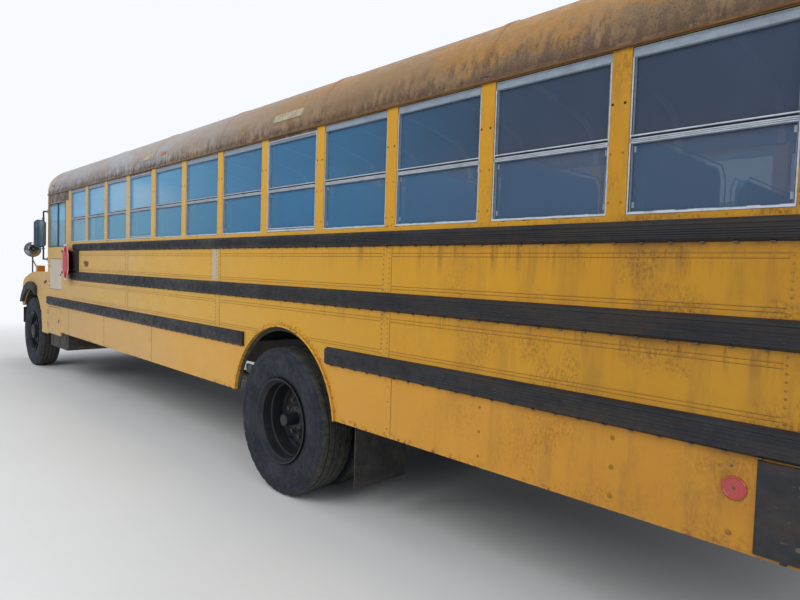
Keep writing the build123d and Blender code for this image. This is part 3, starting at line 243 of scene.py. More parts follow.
def paint(name, base, faded, rails=(), edges=(), wear=1.0):
    """Weathered paint: faded forward, with brown runs under the rails and mottled stains toward the rear."""
    look = Look(name, base, 0.42, coat=0.05)
    look.put("Coat Roughness", 0.3)
    look.put("Specular IOR Level", 0.32)
    x = look.axis("X")
    z = look.axis("Z")
    ageing = look.fit(x, 1.0, -5.0)
    aft = look.fit(x, -2.9, -4.9)
    forward = look.math("ADD", look.fit(x, -3.6, 3.2, 0.0, 0.75),
                        look.fit(look.noise(0.9, detail=5), 0.35, 0.7, 0.0, 0.25))
    color = look.mix(forward, base, faded)
    color = look.mix(look.mul(ageing, 0.95), color, tuple(c * k for c, k in zip(base, (0.74, 0.62, 0.50))))
    tail = look.fit(x, -4.0, -5.0)
    color = look.mix(look.mul(tail, 0.8), color, tuple(c * k for c, k in zip(base, (0.60, 0.50, 0.45))))
    blotch = look.fit(look.noise(5, (1, 1, 1.6), detail=7, shift=3), 0.34, 0.72, 0.0, 0.35)
    color = look.mix(blotch, color, tuple(c * 0.74 for c in base))
    grain = look.fit(look.noise(110, detail=3), 0.3, 0.7, 0.0, 0.14)
    color = look.mix(grain, color, tuple(c * 0.55 for c in base))
    runs = look.fit(look.noise(20, (1, 1, 0.05), detail=6, shift=1, rough=0.7), 0.47, 0.66)
    thin = look.fit(look.noise(75, (1, 1, 0.045), detail=4, shift=6, rough=0.7), 0.52, 0.66)
    mottle = look.fit(look.noise(90, (1, 1, 0.55), detail=8, shift=8, rough=0.75), 0.40, 0.64)
    cloud = look.fit(look.noise(3.1, (1, 1, 0.75), detail=6, shift=12), 0.42, 0.60)
    stain = look.mul(look.mul(cloud, mottle), look.mul(aft, 0.85))
    wash = look.fit(look.noise(9, (1, 1, 0.16), detail=7, shift=17, rough=0.65), 0.46, 0.64)
    color = look.mix(look.mul(look.mul(wash, aft), 0.45), color, (0.24, 0.12, 0.022))
    for level, reach in rails:
        under = look.mul(look.fit(z, level - reach, level), look.math("LESS_THAN", z, level + 0.002))
        drip = look.mul(look.mul(under, look.most(runs, look.mul(thin, 0.6))),
                        look.fit(ageing, 0.35, 1.0, 0.14, 1.0))
        stain = look.most(stain, look.mul(drip, look.fit(mottle, 0, 1, 0.55, 1.0)))
        veil = look.mul(look.mul(look.fit(z, level - 0.05, level),
                                 look.math("LESS_THAN", z, level + 0.002)), aft)
        stain = look.most(stain, look.mul(veil, look.fit(cloud, 0, 1, 0.35, 0.8)))
    color = look.mix(look.mul(stain, wear), color, look.mix(grain, STAIN, (0.24, 0.11, 0.030)))
    pits = look.fit(look.noise(150, detail=3, shift=5), 0.70, 0.74)
    rust = look.mul(look.mul(pits, cloud), look.fit(aft, 0, 1, 0.1 * wear, 0.8 * wear))
    for level, reach in edges:
        low = look.mul(look.fit(z, level + reach, level), look.math("GREATER_THAN", z, level - 0.004))
        flakes = look.fit(look.noise(34, detail=7, shift=2, rough=0.7), 0.50, 0.60)
        spots = look.fit(look.noise(2.0, (1, 1, 0.1), detail=3, shift=14), 0.50, 0.60)
        behind_wheel = look.fit(look.math("ABSOLUTE", look.math("SUBTRACT", x, REAR_AXLE - 1.02)), 0.42,
                                0.26)
        spots = look.most(spots, behind_wheel)
        rust = look.most(rust, look.mul(look.mul(low, flakes), look.mul(spots, 0.95)))
    ring = look.math("SQRT", look.math("ADD", look.math("POWER", look.math("SUBTRACT", x, ARCH_X), 2.0),
                                       look.math("POWER", look.math("SUBTRACT", z, ARCH_Z), 2.0)))
    eaten = look.fit(look.noise(46, detail=7, shift=9, rough=0.7), 0.53, 0.60)
    rust = look.most(rust, look.mul(look.mul(look.fit(ring, 0.690, 0.645), eaten), 0.8 * wear))
    color = look.mix(rust, color, RUST)
    look.color(color)
    worn = look.most(rust, look.most(stain, look.fit(look.noise(30, shift=4), 0.3, 0.7, 0, 0.3)))
    look.rough(look.fit(worn, 0, 1, 0.40, 0.85))
    look.bump(look.noise(2.2, detail=1, shift=6), 0.5, 0.012)
    look.bump(look.noise(140, detail=2), 0.08, 0.001)
    return look.mat


def plain(name, color, rough, second=None, scale=30, metal=0.0, grain=200, depth=0.0008, strength=0.25):
    """A plain surface with slight mottling, grain and uneven gloss."""
    look = Look(name, color, rough, metal)
    second = second or tuple(c * 0.65 for c in color)
    mask = look.fit(look.noise(scale, detail=5), 0.35, 0.7, 0, 0.8)
    look.color(look.mix(mask, color, second))
    look.rough(look.fit(look.noise(scale * 1.7, detail=4, shift=5), 0.3, 0.7, rough * 0.8,
                        min(rough * 1.25, 1.0)))
    look.bump(look.noise(grain, detail=3), strength, depth)
    return look.mat


def rusty(name, color, rough=0.55, amount=0.5, scale=12, metal=0.0):
    """Painted or bare metal with rust and dust on it."""
    dirt = min(0.13, 0.03 + color[0])
    look = Look(name, color, rough, metal)
    mask = look.fit(look.noise(scale, detail=7), 0.62 - amount * 0.25, 0.72)
    tint = look.mix(look.fit(look.noise(60, detail=4), 0.3, 0.7), RUST, (0.26, 0.12, 0.05))
    base = look.mix(look.fit(look.noise(4, detail=5, shift=3), 0.35, 0.7, 0, 0.5), color,
                    (dirt, dirt * 0.95, dirt * 0.85))
    look.color(look.mix(look.mul(mask, 0.85), base, tint))
    look.rough(look.fit(mask, 0, 1, rough, 0.9))
    look.bump(look.noise(90, detail=5), 0.4, 0.0012)
    return look.mat


def roof_paint():
    """Sun-burnt roof: grey-tan ahead, golden patches aft, and a brown stipple that thickens to the gutter."""
    look = Look("roof_weathered", (0.36, 0.24, 0.12), 0.75)
    z = look.axis("Z")
    x = look.axis("X")
    grey = (0.33, 0.335, 0.345)
    tan_tone = (0.250, 0.155, 0.078)
    gold = (0.33, 0.165, 0.040)
    brown = (0.082, 0.056, 0.038)
    color = look.mix(look.fit(x, -3.2, 1.0), tan_tone, grey)
    patch = look.fit(look.noise(2.6, (0.6, 1, 1), detail=8, shift=11, rough=0.65), 0.47, 0.56)
    color = look.mix(look.mul(patch, look.fit(x, -1.5, -4.5, 0.25, 0.9)), color, gold)
    low = look.fit(z, 2.90, 2.57)
    aft = look.fit(x, -2.0, -4.8)
    cloud = look.fit(look.noise(3.4, (0.7, 1, 1), detail=8, shift=4, rough=0.65), 0.40, 0.58)
    streak = look.fit(look.noise(24, (1, 1, 0.3), detail=7, shift=2, rough=0.7), 0.40, 0.58)
    stipple = look.fit(look.noise(95, detail=4, shift=7, rough=0.6), 0.44, 0.56)
    reach = look.math("ADD", look.fit(low, 0.35, 1.0), look.mul(aft, 0.45))
    speckle = look.fit(look.noise(230, detail=2, shift=9), 0.42, 0.60)
    burnt = look.mul(look.mul(reach, look.most(look.mul(cloud, 0.75), streak)),
                     look.fit(look.mul(stipple, speckle), 0, 1, 0.50, 1.0))
    tan_speck = look.mul(look.mul(look.fit(stipple, 0, 1, 1.0, 0.0), speckle),
                         look.fit(x, 0.5, -4.0, 0.1, 0.5))
    color = look.mix(tan_speck, color, (0.15, 0.10, 0.062))
    clamp = look.fit(burnt, 0.0, 1.0, 0.0, 0.92)
    color = look.mix(clamp, color, brown)
    edge = look.mul(look.fit(z, 2.63, 2.57), look.fit(streak, 0, 1, 0.35, 0.9))
    color = look.mix(edge, color, (0.085, 0.05, 0.032))
    spots = look.fit(look.cells(85), 0.16, 0.28, 0.55, 0.0)
    color = look.mix(look.mul(spots, look.most(clamp, edge)), color, (0.20, 0.14, 0.09))
    look.color(color)
    look.rough(look.fit(look.noise(20), 0.3, 0.7, 0.65, 0.92))
    look.bump(stipple, 0.22, 0.0015)
    look.bump(look.noise(2.0, detail=1), 0.4, 0.012)
    return look.mat


def metal_sash(name, light, dark_tone, metal=0.35):
    look = Look(name, light, 0.5, metal=metal)
    streak = look.fit(look.noise(60, (0.25, 1, 1), detail=4), 0.3, 0.75, 0, 0.7)
    color = look.mix(streak, light, dark_tone)
    stain = look.fit(look.noise(9, detail=6, shift=5), 0.55, 0.75, 0, 0.5)
    look.color(look.mix(stain, color, (0.16, 0.15, 0.13)))
    look.rough(look.fit(look.noise(40), 0.3, 0.7, 0.4, 0.7))
    look.bump(look.noise(300, (0.1, 1, 1)), 0.15, 0.0006)
    return look.mat


def tinted(name, color, alpha):
    look = Look(name, color, 0.05, alpha=alpha)
    film = look.fit(look.noise(2.2, (1, 1, 0.5), detail=6), 0.35, 0.75, 0, 0.5)
    # On the near side the glass tone changes along the bus and between the upper and lower panes, bluest and
    # brightest towards the front: painted sky reflection.
    middle = look.fit(look.axis("X"), -4.4, -2.2)
    ahead = look.fit(look.axis("X"), -2.5, 1.5)
    near_tone = look.mix(film, color, tuple(c * 1.3 + 0.010 for c in color))
    below = look.fit(look.axis("Z"), 2.19, 2.17, 0.0, 0.8)
    near_tone = look.mix(below, near_tone, (0.075, 0.125, 0.21))
    tone = look.mix(middle, near_tone, (0.048, 0.185, 0.350))
    tone = look.mix(ahead, tone, look.mix(below, (0.190, 0.540, 0.820), (0.170, 0.400, 0.520)))
    # The painted reflection is kept to the near side; the far side gets the plain film tone.
    reflecting_side = look.fit(look.axis("Y"), 1.10, 1.16)
    plain_tone = look.mix(film, (0.050, 0.085, 0.115), (0.085, 0.125, 0.155))
    look.color(look.mix(reflecting_side, plain_tone, tone))
    look.rough(look.fit(look.noise(14, detail=5), 0.3, 0.7, 0.03, 0.12))
    look.put("Specular IOR Level", 0.5)
    return look.mat


def rubber(name, color, dusty, scale=8, tread=None):
    look = Look(name, color, 0.75)
    mask = look.fit(look.noise(scale, detail=7), 0.38, 0.68, 0, 0.8)
    tone = look.mix(mask, color, dusty)
    if tread:
        z = look.math("POWER", look.math("SUBTRACT", look.axis("Z"), AXLE), 2.0)
        worn = None
        for axle in (FRONT_AXLE, REAR_AXLE):
            x = look.math("POWER", look.math("SUBTRACT", look.axis("X"), axle), 2.0)
            radius = look.math("SQRT", look.math("ADD", x, z))
            near = look.mul(look.fit(radius, 0.512, 0.519), look.math("LESS_THAN", radius, 0.6))
            worn = near if worn is None else look.most(worn, near)
        patchy = look.fit(look.noise(22, detail=7, shift=4), 0.35, 0.65, 0.25, 1.0)
        tone = look.mix(look.mul(worn, patchy), tone, tread)
    look.color(tone)
    look.rough(look.fit(look.noise(30), 0.3, 0.7, 0.62, 0.9))
    look.bump(look.noise(120, detail=5), 0.35, 0.0015)
    return look.mat


def vinyl(name, color, second):
    look = Look(name, color, 0.5)
    mask = look.fit(look.noise(5, detail=6), 0.35, 0.7, 0, 0.7)
    look.color(look.mix(mask, color, second))
    look.rough(look.fit(look.noise(20), 0.3, 0.7, 0.4, 0.65))
    grain = look.cells(420, feature="SMOOTH_F1")
    look.bump(grain, 0.25, 0.0008)
    look.bump(look.noise(14, detail=3), 0.25, 0.004)
    return look.mat


def lens(name, color, rough=0.12, pattern=160):
    look = Look(name, color, rough, coat=0.6)
    wave = look.fit(look.cells(pattern), 0.2, 0.6)
    look.color(look.mix(look.mul(wave, 0.5), color, tuple(c * 0.5 for c in color)))
    look.bump(wave, 0.3, 0.0012)
    return look.mat


def ribbed_black():
    look = Look("rail_paint", (0.026, 0.027, 0.030), 0.42)
    mask = look.fit(look.noise(7, (0.4, 1, 1), detail=7), 0.42, 0.72, 0, 0.7)
    aft = look.fit(look.axis("X"), -1.0, -4.8, 0.25, 1.0)
    color = look.mix(look.mul(mask, look.fit(look.axis("X"), -4.6, 0.0, 0.35, 1.0)), (0.013, 0.014, 0.018),
                     (0.052, 0.050, 0.048))
    grime = look.fit(look.noise(18, (0.15, 1, 1), detail=6, shift=2), 0.42, 0.64)
    color = look.mix(look.mul(grime, look.mul(aft, 0.75)), color, (0.032, 0.022, 0.016))
    chips = look.fit(look.noise(80, (0.4, 1, 1), detail=5, shift=2), 0.68, 0.72)
    color = look.mix(look.mul(chips, 0.6), color, (0.13, 0.09, 0.05))
    look.color(color)
    look.rough(look.fit(look.noise(25), 0.3, 0.7, 0.36, 0.7))
    look.bump(look.noise(110, detail=4), 0.2, 0.001)
    return look.mat


RAILS = ((1.763, 0.20), (1.389, 0.14))
SASH = (0.31, 0.36, 0.42)
looks = {
    "body_yellow": paint("body_paint", YELLOW, (0.54, 0.36, 0.160), RAILS, ((1.876, 0.02),)),
    "skirt_orange": paint("skirt_paint", (0.70, 0.365, 0.040), (0.50, 0.330, 0.155), ((1.012, 0.05),),
                          ((0.663, 0.045),), 0.7),
    "roof_tan": roof_paint(),
    "sash_aluminium": metal_sash("sash_dull", SASH, (0.22, 0.26, 0.31)),
    "tinted_glass": tinted("window_glass", (0.045, 0.070, 0.120), 0.52),
    "rail_black": ribbed_black(),
    "chassis_black": rusty("chassis_paint", (0.030, 0.029, 0.028), 0.6, 0.45),
    "cast_iron_grey": rusty("cast_iron", (0.12, 0.12, 0.12), 0.7, 0.5),
    "exhaust_steel": rusty("exhaust_rust", (0.16, 0.11, 0.08), 0.6, 0.9, metal=0.4),
    "floor_grey": plain("floor_mat", (0.08, 0.08, 0.08), 0.7, scale=5),
    "flap_rubber": rubber("flap_mat", (0.030, 0.030, 0.030), (0.075, 0.066, 0.052)),
    "door_black": plain("door_paint", (0.03, 0.03, 0.03), 0.4, scale=6),
    "seat_vinyl": vinyl("bench_vinyl", (0.040, 0.135, 0.27), (0.065, 0.18, 0.30)),
    "seat_steel": rusty("bench_steel", (0.06, 0.06, 0.06), 0.5, 0.1),
    "driver_vinyl": vinyl("driver_cover", (0.04, 0.04, 0.045), (0.07, 0.07, 0.07)),
    "dash_plastic": plain("dash_grain", (0.045, 0.045, 0.045), 0.55, scale=20, grain=500),
    "black_plastic": plain("black_moulding", (0.025, 0.025, 0.026), 0.45, scale=14, grain=350),
    "flare_rubber": rubber("flare_mat", (0.025, 0.026, 0.030), (0.07, 0.065, 0.058)),
    "red_lens": lens("red_lamp", (0.50, 0.03, 0.02)),
    "amber_lens": lens("amber_lamp", (0.50, 0.16, 0.012)),
    "lamp_clear": lens("clear_lamp", (0.62, 0.64, 0.64), 0.08),
    "sign_red": plain("sign_paint", (0.50, 0.03, 0.04), 0.4, scale=10),
    "tyre_black": rubber("tyre_wall", (0.010, 0.014, 0.021), (0.028, 0.032, 0.040), 5,
                         (0.060, 0.058, 0.042)),
    "rim_black": rusty("rim_paint", (0.010, 0.013, 0.019), 0.5, -0.2),
}
looks["sign_white"] = plain("sign_border", (0.72, 0.72, 0.70), 0.45, scale=12)
looks["blank_plate"] = plain("blank_plate", (0.40, 0.34, 0.25), 0.6, (0.22, 0.17, 0.11), 24)
looks["pale_panel"] = paint("pale_hatch", (0.50, 0.42, 0.31), (0.56, 0.48, 0.38), (), (), 0.3)
# A brighter copy of the sash aluminium for the sills, meeting rails, channels and escape frames, against the
# duller header: painted sheen.
looks["sash_bright"] = metal_sash("sash_painted_sheen", (0.56, 0.60, 0.65), (0.36, 0.40, 0.45), 0.3)
looks["bolt"] = rusty("bolt_steel", (0.13, 0.12, 0.11), 0.45, 0.5, 40, metal=0.6)
looks["rivet_paint"] = paint("rivet_paint", (0.42, 0.22, 0.025), (0.40, 0.26, 0.10), (), (), 0.5)
looks["rivet_rust"] = plain("rivet_rust", (0.20, 0.095, 0.026), 0.7, (0.36, 0.19, 0.035), 16)
# Thin brown lines under the belt creases and beside the lap and skirt seams: painted shade.
looks["crease"] = plain("crease_painted_shade", (0.16, 0.085, 0.022), 0.7, (0.24, 0.13, 0.032), 40)
looks["drip_lip"] = paint("drip_paint", (0.17, 0.085, 0.024), (0.24, 0.16, 0.08), (), (), 1.2)
# Near-black for the sash gaps, the post holes and the wheels' hand holes: painted shade.
looks["dark_gap"] = plain("gap_painted_shade", (0.012, 0.012, 0.013), 0.8)
looks["mirror_glass"] = plain("mirror_face", (0.30, 0.33, 0.37), 0.12, (0.24, 0.27, 0.31), 20, metal=1.0,
                              strength=0.02)
looks["steel"] = plain("wire_steel", (0.30, 0.29, 0.28), 0.4, (0.18, 0.14, 0.11), 40, metal=0.8)
looks["rust_metal"] = rusty("rust_piece", (0.16, 0.08, 0.04), 0.8, 1.0)
looks["reflector"] = lens("reflector_red", (0.44, 0.045, 0.035), 0.3, 240)
looks["seal"] = rubber("seal_rubber", (0.018, 0.018, 0.018), (0.05, 0.046, 0.04), 14)


def ring_faces(rings, sides, first=False, last=False):
    """Quads between rings of points, with a face over the first and the last ring if asked."""
    faces = [(r * sides + k, r * sides + (k + 1) % sides, (r + 1) * sides + (k + 1) % sides,
              (r + 1) * sides + k)
             for r in range(rings - 1) for k in range(sides)]
    if first:
        faces.append(tuple(range(sides - 1, -1, -1)))
    if last:
        faces.append(tuple(range((rings - 1) * sides, rings * sides)))
    return faces


def facing(normal):
    """A direction at unit length and two more across it."""
    normal = Vector(normal).normalized()
    across = normal.orthogonal().normalized()
    return normal, across, normal.cross(across)


class Shape:
    """Points and faces gathered for one piece."""

    def __init__(self):
        self.points = []
        self.faces = []
        self.kinds = []
        self.kind = 0

    def add(self, points, faces):
        start = len(self.points)
        self.points.extend([tuple(p) for p in points])
        self.faces.extend([tuple(i + start for i in face) for face in faces])
        self.kinds.extend([self.kind] * len(faces))

    def prism(self, outline, axis, low, high):
        """Pushes an outline along an axis; the outline is in the other two axes in x, y, z order."""
        def place(a, b, c):
            return {"x": (c, a, b), "y": (a, c, b), "z": (a, b, c)}[axis]
        count = len(outline)
        points = [place(a, b, low) for a, b in outline] + [place(a, b, high) for a, b in outline]
        self.add(points, ring_faces(2, count, True, True))

    def box(self, x, y, z):
        self.prism([(x[0], y[0]), (x[1], y[0]), (x[1], y[1]), (x[0], y[1])], "z", z[0], z[1])

    def lathe(self, rows, centre, axis="y", steps=48, start=0.0, turn=360.0):
        """Turns rows of (place along the axis, radius) round a centre."""
        full = turn >= 360
        count = steps if full else steps + 1
        width = len(rows)
        points = []
        for step in range(count):
            angle = radians(start + turn * step / steps)
            for along, radius in rows:
                u, v = radius * cos(angle), radius * sin(angle)
                x, y, z = {"y": (u, along, v), "x": (along, u, v), "z": (u, v, along)}[axis]
                points.append((centre[0] + x, centre[1] + y, centre[2] + z))
        faces = []
        for step in range(steps):
            here = step * width
            there = ((step + 1) % count) * width
            for k in range(width - 1):
                faces.append((here + k, here + k + 1, there + k + 1, there + k))
        self.add(points, faces)

    def tube(self, path, radius, sides=10):
        """A round bar along a path with flat ends."""
        path = [Vector(p) for p in path]
        points = []
        normal = None
        for index, place in enumerate(path):
            ahead = path[min(index + 1, len(path) - 1)] - path[max(index - 1, 0)]
            ahead.normalize()
            if normal is None:
                normal = ahead.orthogonal().normalized()
            normal = (normal - ahead * normal.dot(ahead)).normalized()
            other = ahead.cross(normal)
            for k in range(sides):
                angle = 2 * pi * k / sides
                points.append(place + normal * radius * cos(angle) + other * radius * sin(angle))
        self.add(points, ring_faces(len(path), sides, True, True))

    def stud(self, centre, normal, radius=0.005, height=0.0025, sides=8):
        """A domed rivet head."""
        normal, across, up = facing(normal)
        centre = Vector(centre)
        points = []
        for scale, rise in ((1.0, -0.0005), (0.92, height * 0.55), (0.5, height)):
            for k in range(sides):
                angle = 2 * pi * k / sides
                offset = across * cos(angle) + up * sin(angle)
                points.append(centre + offset * radius * scale + normal * rise)
        self.add(points, ring_faces(3, sides, last=True))

    def bolt(self, centre, normal, radius=0.012, height=0.01):
        """A hexagon head on a washer."""
        normal, across, up = facing(normal)
        centre = Vector(centre)
        for sides, size, low, high in ((12, radius * 1.35, -0.001, height * 0.2),
                                       (6, radius, height * 0.2, height)):
            points = []
            for rise in (low, high):
                for k in range(sides):
                    angle = 2 * pi * k / sides
                    points.append(centre + (across * cos(angle) + up * sin(angle)) * size + normal * rise)
            self.add(points, ring_faces(2, sides, True, True))

    def frame(self, axis, a, b, at, out, width):
        """A raised rim with sloped edges round a rectangular opening, on the plane at the given place."""
        points = []
        for offset, rise in ((0, 0), (width * 0.2, 1), (width * 0.8, 1), (width, 0)):
            h = at + out * rise
            for p, q in ((a[0] - offset, b[0] - offset), (a[1] + offset, b[0] - offset),
                         (a[1] + offset, b[1] + offset), (a[0] - offset, b[1] + offset)):
                points.append({"x": (h, p, q), "y": (p, h, q), "z": (p, q, h)}[axis])
        faces = []
        for loop in range(4):
            other = (loop + 1) % 4
            for k in range(4):
                n = (k + 1) % 4
                faces.append((4 * loop + k, 4 * loop + n, 4 * other + n, 4 * other + k))
        self.add(points, faces)

    def mirrored(self):
        """Adds the other side of the bus."""
        count = len(self.points)
        self.points.extend([(x, -y, z) for x, y, z in self.points])
        self.faces.extend([tuple(i + count for i in reversed(face)) for face in self.faces])
        self.kinds.extend(self.kinds)

    def make(self, name, look, body="bus_body", smooth=30, bevel=0.0, replaces=()):
        mesh = bpy.data.meshes.new(name)
        mesh.from_pydata(self.points, [], self.faces)
        names = look if isinstance(look, (list, tuple)) else [look]
        for one in names:
            mesh.materials.append(looks[one])
        if len(names) > 1:
            mesh.polygons.foreach_set("material_index", self.kinds)
        solid = bmesh.new()
        solid.from_mesh(mesh)
        bmesh.ops.recalc_face_normals(solid, faces=solid.faces)
        solid.to_mesh(mesh)
        solid.free()
        if smooth:
            mesh.polygons.foreach_set("use_smooth", [True] * len(mesh.polygons))
            mesh.set_sharp_from_angle(angle=radians(smooth))
        obj = put_in_scene(name, mesh)
        if bevel:
            modifier = obj.modifiers.new("bevel", "BEVEL")
            modifier.width = bevel
            modifier.segments = 2
            modifier.limit_method = "ANGLE"
            modifier.angle_limit = radians(40)
        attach(obj, body)
        for node in replaces:
            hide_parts(node)
        return obj


def dress_solids():
    """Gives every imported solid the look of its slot."""
    for row in frame["record"]["subparts"]:
        node = frame["nodes"][row["node"]]
        material = looks[row["material_slot"]]
        if row["node"] == "electrical_door":
            material = looks["pale_panel"]
        node.data.materials.clear()
        node.data.materials.append(material)


def make_stage():
    """A pale floor that fades into the background colour far from the bus."""
    size = 90
    mesh = bpy.data.meshes.new("floor_plane")
    mesh.from_pydata([(-size, -size, 0), (size, -size, 0), (size, size, 0), (-size, size, 0)], [],
                     [(0, 1, 2, 3)])
    look = Look("floor_pale", (0.62, 0.62, 0.60), 0.9)
    look.color(look.mix(look.fit(look.noise(0.7, detail=4), 0.3, 0.7), (0.645, 0.645, 0.635),
                        (0.620, 0.620, 0.610)))
    x, y = look.axis("X"), look.axis("Y")
    span = look.math("SQRT", look.math("ADD", look.mul(x, x), look.mul(y, y)))
    path = look.new("ShaderNodeLightPath")
    fade = look.mul(look.fit(span, 6.5, 13.0), path.outputs["Is Camera Ray"])
    far = look.new("ShaderNodeEmission")
    far.inputs["Color"].default_value = (*BACKDROP, 1)
    blend = look.new("ShaderNodeMixShader")
    look.link(fade, blend.inputs[0])
    look.link(look.shader.outputs[0], blend.inputs[1])
    look.link(far.outputs[0], blend.inputs[2])
    look.link(blend.outputs[0], look.tree.nodes["Material Output"].inputs["Surface"])
    mesh.materials.append(look.mat)
    obj = put_in_scene("floor_plane", mesh)


# Wheels

def tyre_rows(centre_y):
    """Tyre section: bead, bulged sidewall with rings, shoulder and grooved tread."""
    half = 0.139
    rows = [(-0.098, 0.288), (-0.112, 0.300), (-0.126, 0.335), (-0.136, 0.375), (-half, 0.410),
            (-half, 0.425),
            (-0.1385, 0.428), (-0.137, 0.455), (-0.134, 0.458), (-0.134, 0.468), (-0.137, 0.471),
            (-0.1365, 0.492),
            (-0.132, 0.508), (-0.126, 0.516), (-0.118, 0.5215)]
    grooves = (-0.078, -0.026, 0.026, 0.078)
    tread = []
    for groove in grooves:
        tread += [(groove - 0.0065, 0.5262), (groove - 0.0045, 0.5150), (groove + 0.0045, 0.5150),
                  (groove + 0.0065, 0.5262)]
    other = [(-along, radius) for along, radius in reversed(rows)]
    return [(centre_y + along, radius) for along, radius in rows + tread + other]


def make_tyre(shape, x, y):
    """A tyre with notches cut across its shoulders."""
    rows = tyre_rows(y)
    steps = 144
    before = len(shape.points)
    shape.lathe(rows, (x, 0, AXLE), "y", steps)
    width = len(rows)
    for step in range(steps):
        if step % 4 == 0:
            for k in list(range(12, 15)) + list(range(width - 15, width - 12)):
                index = before + step * width + k
                px, py, pz = shape.points[index]
                dx, dz = px - x, pz - AXLE
                radius = sqrt(dx * dx + dz * dz)
                scale = (radius - 0.006) / radius
                shape.points[index] = (x + dx * scale, py, AXLE + dz * scale)


def make_rim(shape, x, y, way, front):
    """A pressed disc wheel: flange, barrel, disc with hand holes shown as dark discs of painted shade, nuts
    and hub.
    """
    centre = (x, 0, AXLE)
    face = y + way * 0.066 if front else y - way * 0.060
    rows = [(y + way * along, radius) for along, radius in (
        (0.128, 0.300), (0.131, 0.305), (0.134, 0.303), (0.133, 0.296), (0.122, 0.288), (0.105, 0.281),
        (0.095, 0.272), (0.03, 0.270), (0.02, 0.262))]
    if front:
        rows += [(y + way * along, radius) for along, radius in (
            (0.008, 0.255), (0.020, 0.238), (0.060, 0.200), (0.066, 0.190), (0.066, 0.100))]
    else:
        rows += [(y - way * along, radius) for along, radius in (
            (0.070, 0.258), (0.088, 0.246), (0.080, 0.225), (0.062, 0.200), (0.060, 0.100))]
        rows += [(y - way * along, radius) for along, radius in (
            (0.072, 0.100), (0.080, 0.200), (0.100, 0.246), (0.100, 0.287), (-0.090, 0.287),
            (-0.128, 0.300))]
    shape.kind = 0
    shape.lathe(rows, centre, "y", 96)
    for k in range(10):
        angle = radians(36 * k + 18)
        u, v = 0.1425 * cos(angle), 0.1425 * sin(angle)
        shape.kind = 1
        shape.bolt((x + u, face, AXLE + v), (0, way, 0), 0.0165, 0.026)
    holes = 5 if front else 8
    # The hand holes are dark discs: painted shade.
    shape.kind = 2
    for k in range(holes):
        angle = radians(360 / holes * k)
        u, v = 0.213 * cos(angle), 0.213 * sin(angle)
        level = (y + way * 0.0475) if front else (y - way * 0.0715)
        lean = 0.6 if front else -0.5
        outward = Vector((cos(angle) * lean, way * (0.70 if front else 0.55), sin(angle) * lean))
        shape.stud((x + u, level, AXLE + v), outward, 0.028, 0.002, 20)
    shape.kind = 0
    rise = 0.070 if front else 0.048
    hub = [(face - way * 0.01, 0.112), (face + way * 0.012, 0.110), (face + way * 0.016, 0.104),
           (face + way * (rise - 0.010), 0.092), (face + way * (rise - 0.004), 0.086),
           (face + way * rise, 0.060)]
    if front:
        hub.append((face + way * rise, 0.001))
    else:
        cap = y + way * 0.093
        hub += [(face + way * rise, 0.047), (cap - way * 0.004, 0.043), (cap, 0.040),
                (cap + way * 0.001, 0.001)]
    shape.lathe(hub, centre, "y", 40)
    for k in range(8):
        angle = radians(45 * k)
        shape.kind = 1
        shape.bolt((x + 0.073 * cos(angle), face + way * (rise - 0.004), AXLE + 0.073 * sin(angle)),
                   (0, way, 0),
                   0.008, 0.010)
    shape.kind = 0


def make_wheels():
    for side, label in ((1, "left"), (-1, "right")):
        tyre = Shape()
        make_tyre(tyre, FRONT_AXLE, side * 1.018)
        tyre.make("front_tyre_" + label, "tyre_black", "front_wheel_" + label,
                  replaces=["tyre_front_" + label])
        rim = Shape()
        make_rim(rim, FRONT_AXLE, side * 1.018, side, True)
        rim.make("front_rim_detail_" + label, ["rim_black", "bolt", "dark_gap"], "front_wheel_" + label)
        tyre = Shape()
        make_tyre(tyre, REAR_AXLE, side * 1.050)
        make_tyre(tyre, REAR_AXLE, side * 0.720)
        tyre.make("rear_tyres_" + label, "tyre_black", "rear_wheels_" + label,
                  replaces=["tyres_rear_" + label])
        rim = Shape()
        make_rim(rim, REAR_AXLE, side * 1.050, side, False)
        make_rim(rim, REAR_AXLE, side * 0.720, -side, False)
        rim.lathe([(side * 0.770, 0.112), (side * 0.985, 0.112)], (REAR_AXLE, 0, AXLE), "y", 40)
        rim.make("rear_rims_" + label, ["rim_black", "bolt", "dark_gap"], "rear_wheels_" + label,
                 replaces=["rims_rear_" + label])


# Body side

DOORWAY_REAR = post(0) + 0.218
# columns: low and high edge, rear end, front end on the left, front end on the right
RAIL_ROWS = [(1.012, 1.126, -1.684, 3.806, DOORWAY_REAR - 0.060), (1.012, 1.126, -5.370, -2.732, -2.732),
             (1.389, 1.498, -5.370, 2.722, DOORWAY_REAR - 0.060),
             (1.763, 1.851, -5.370, 2.592, DOORWAY_REAR - 0.060)]


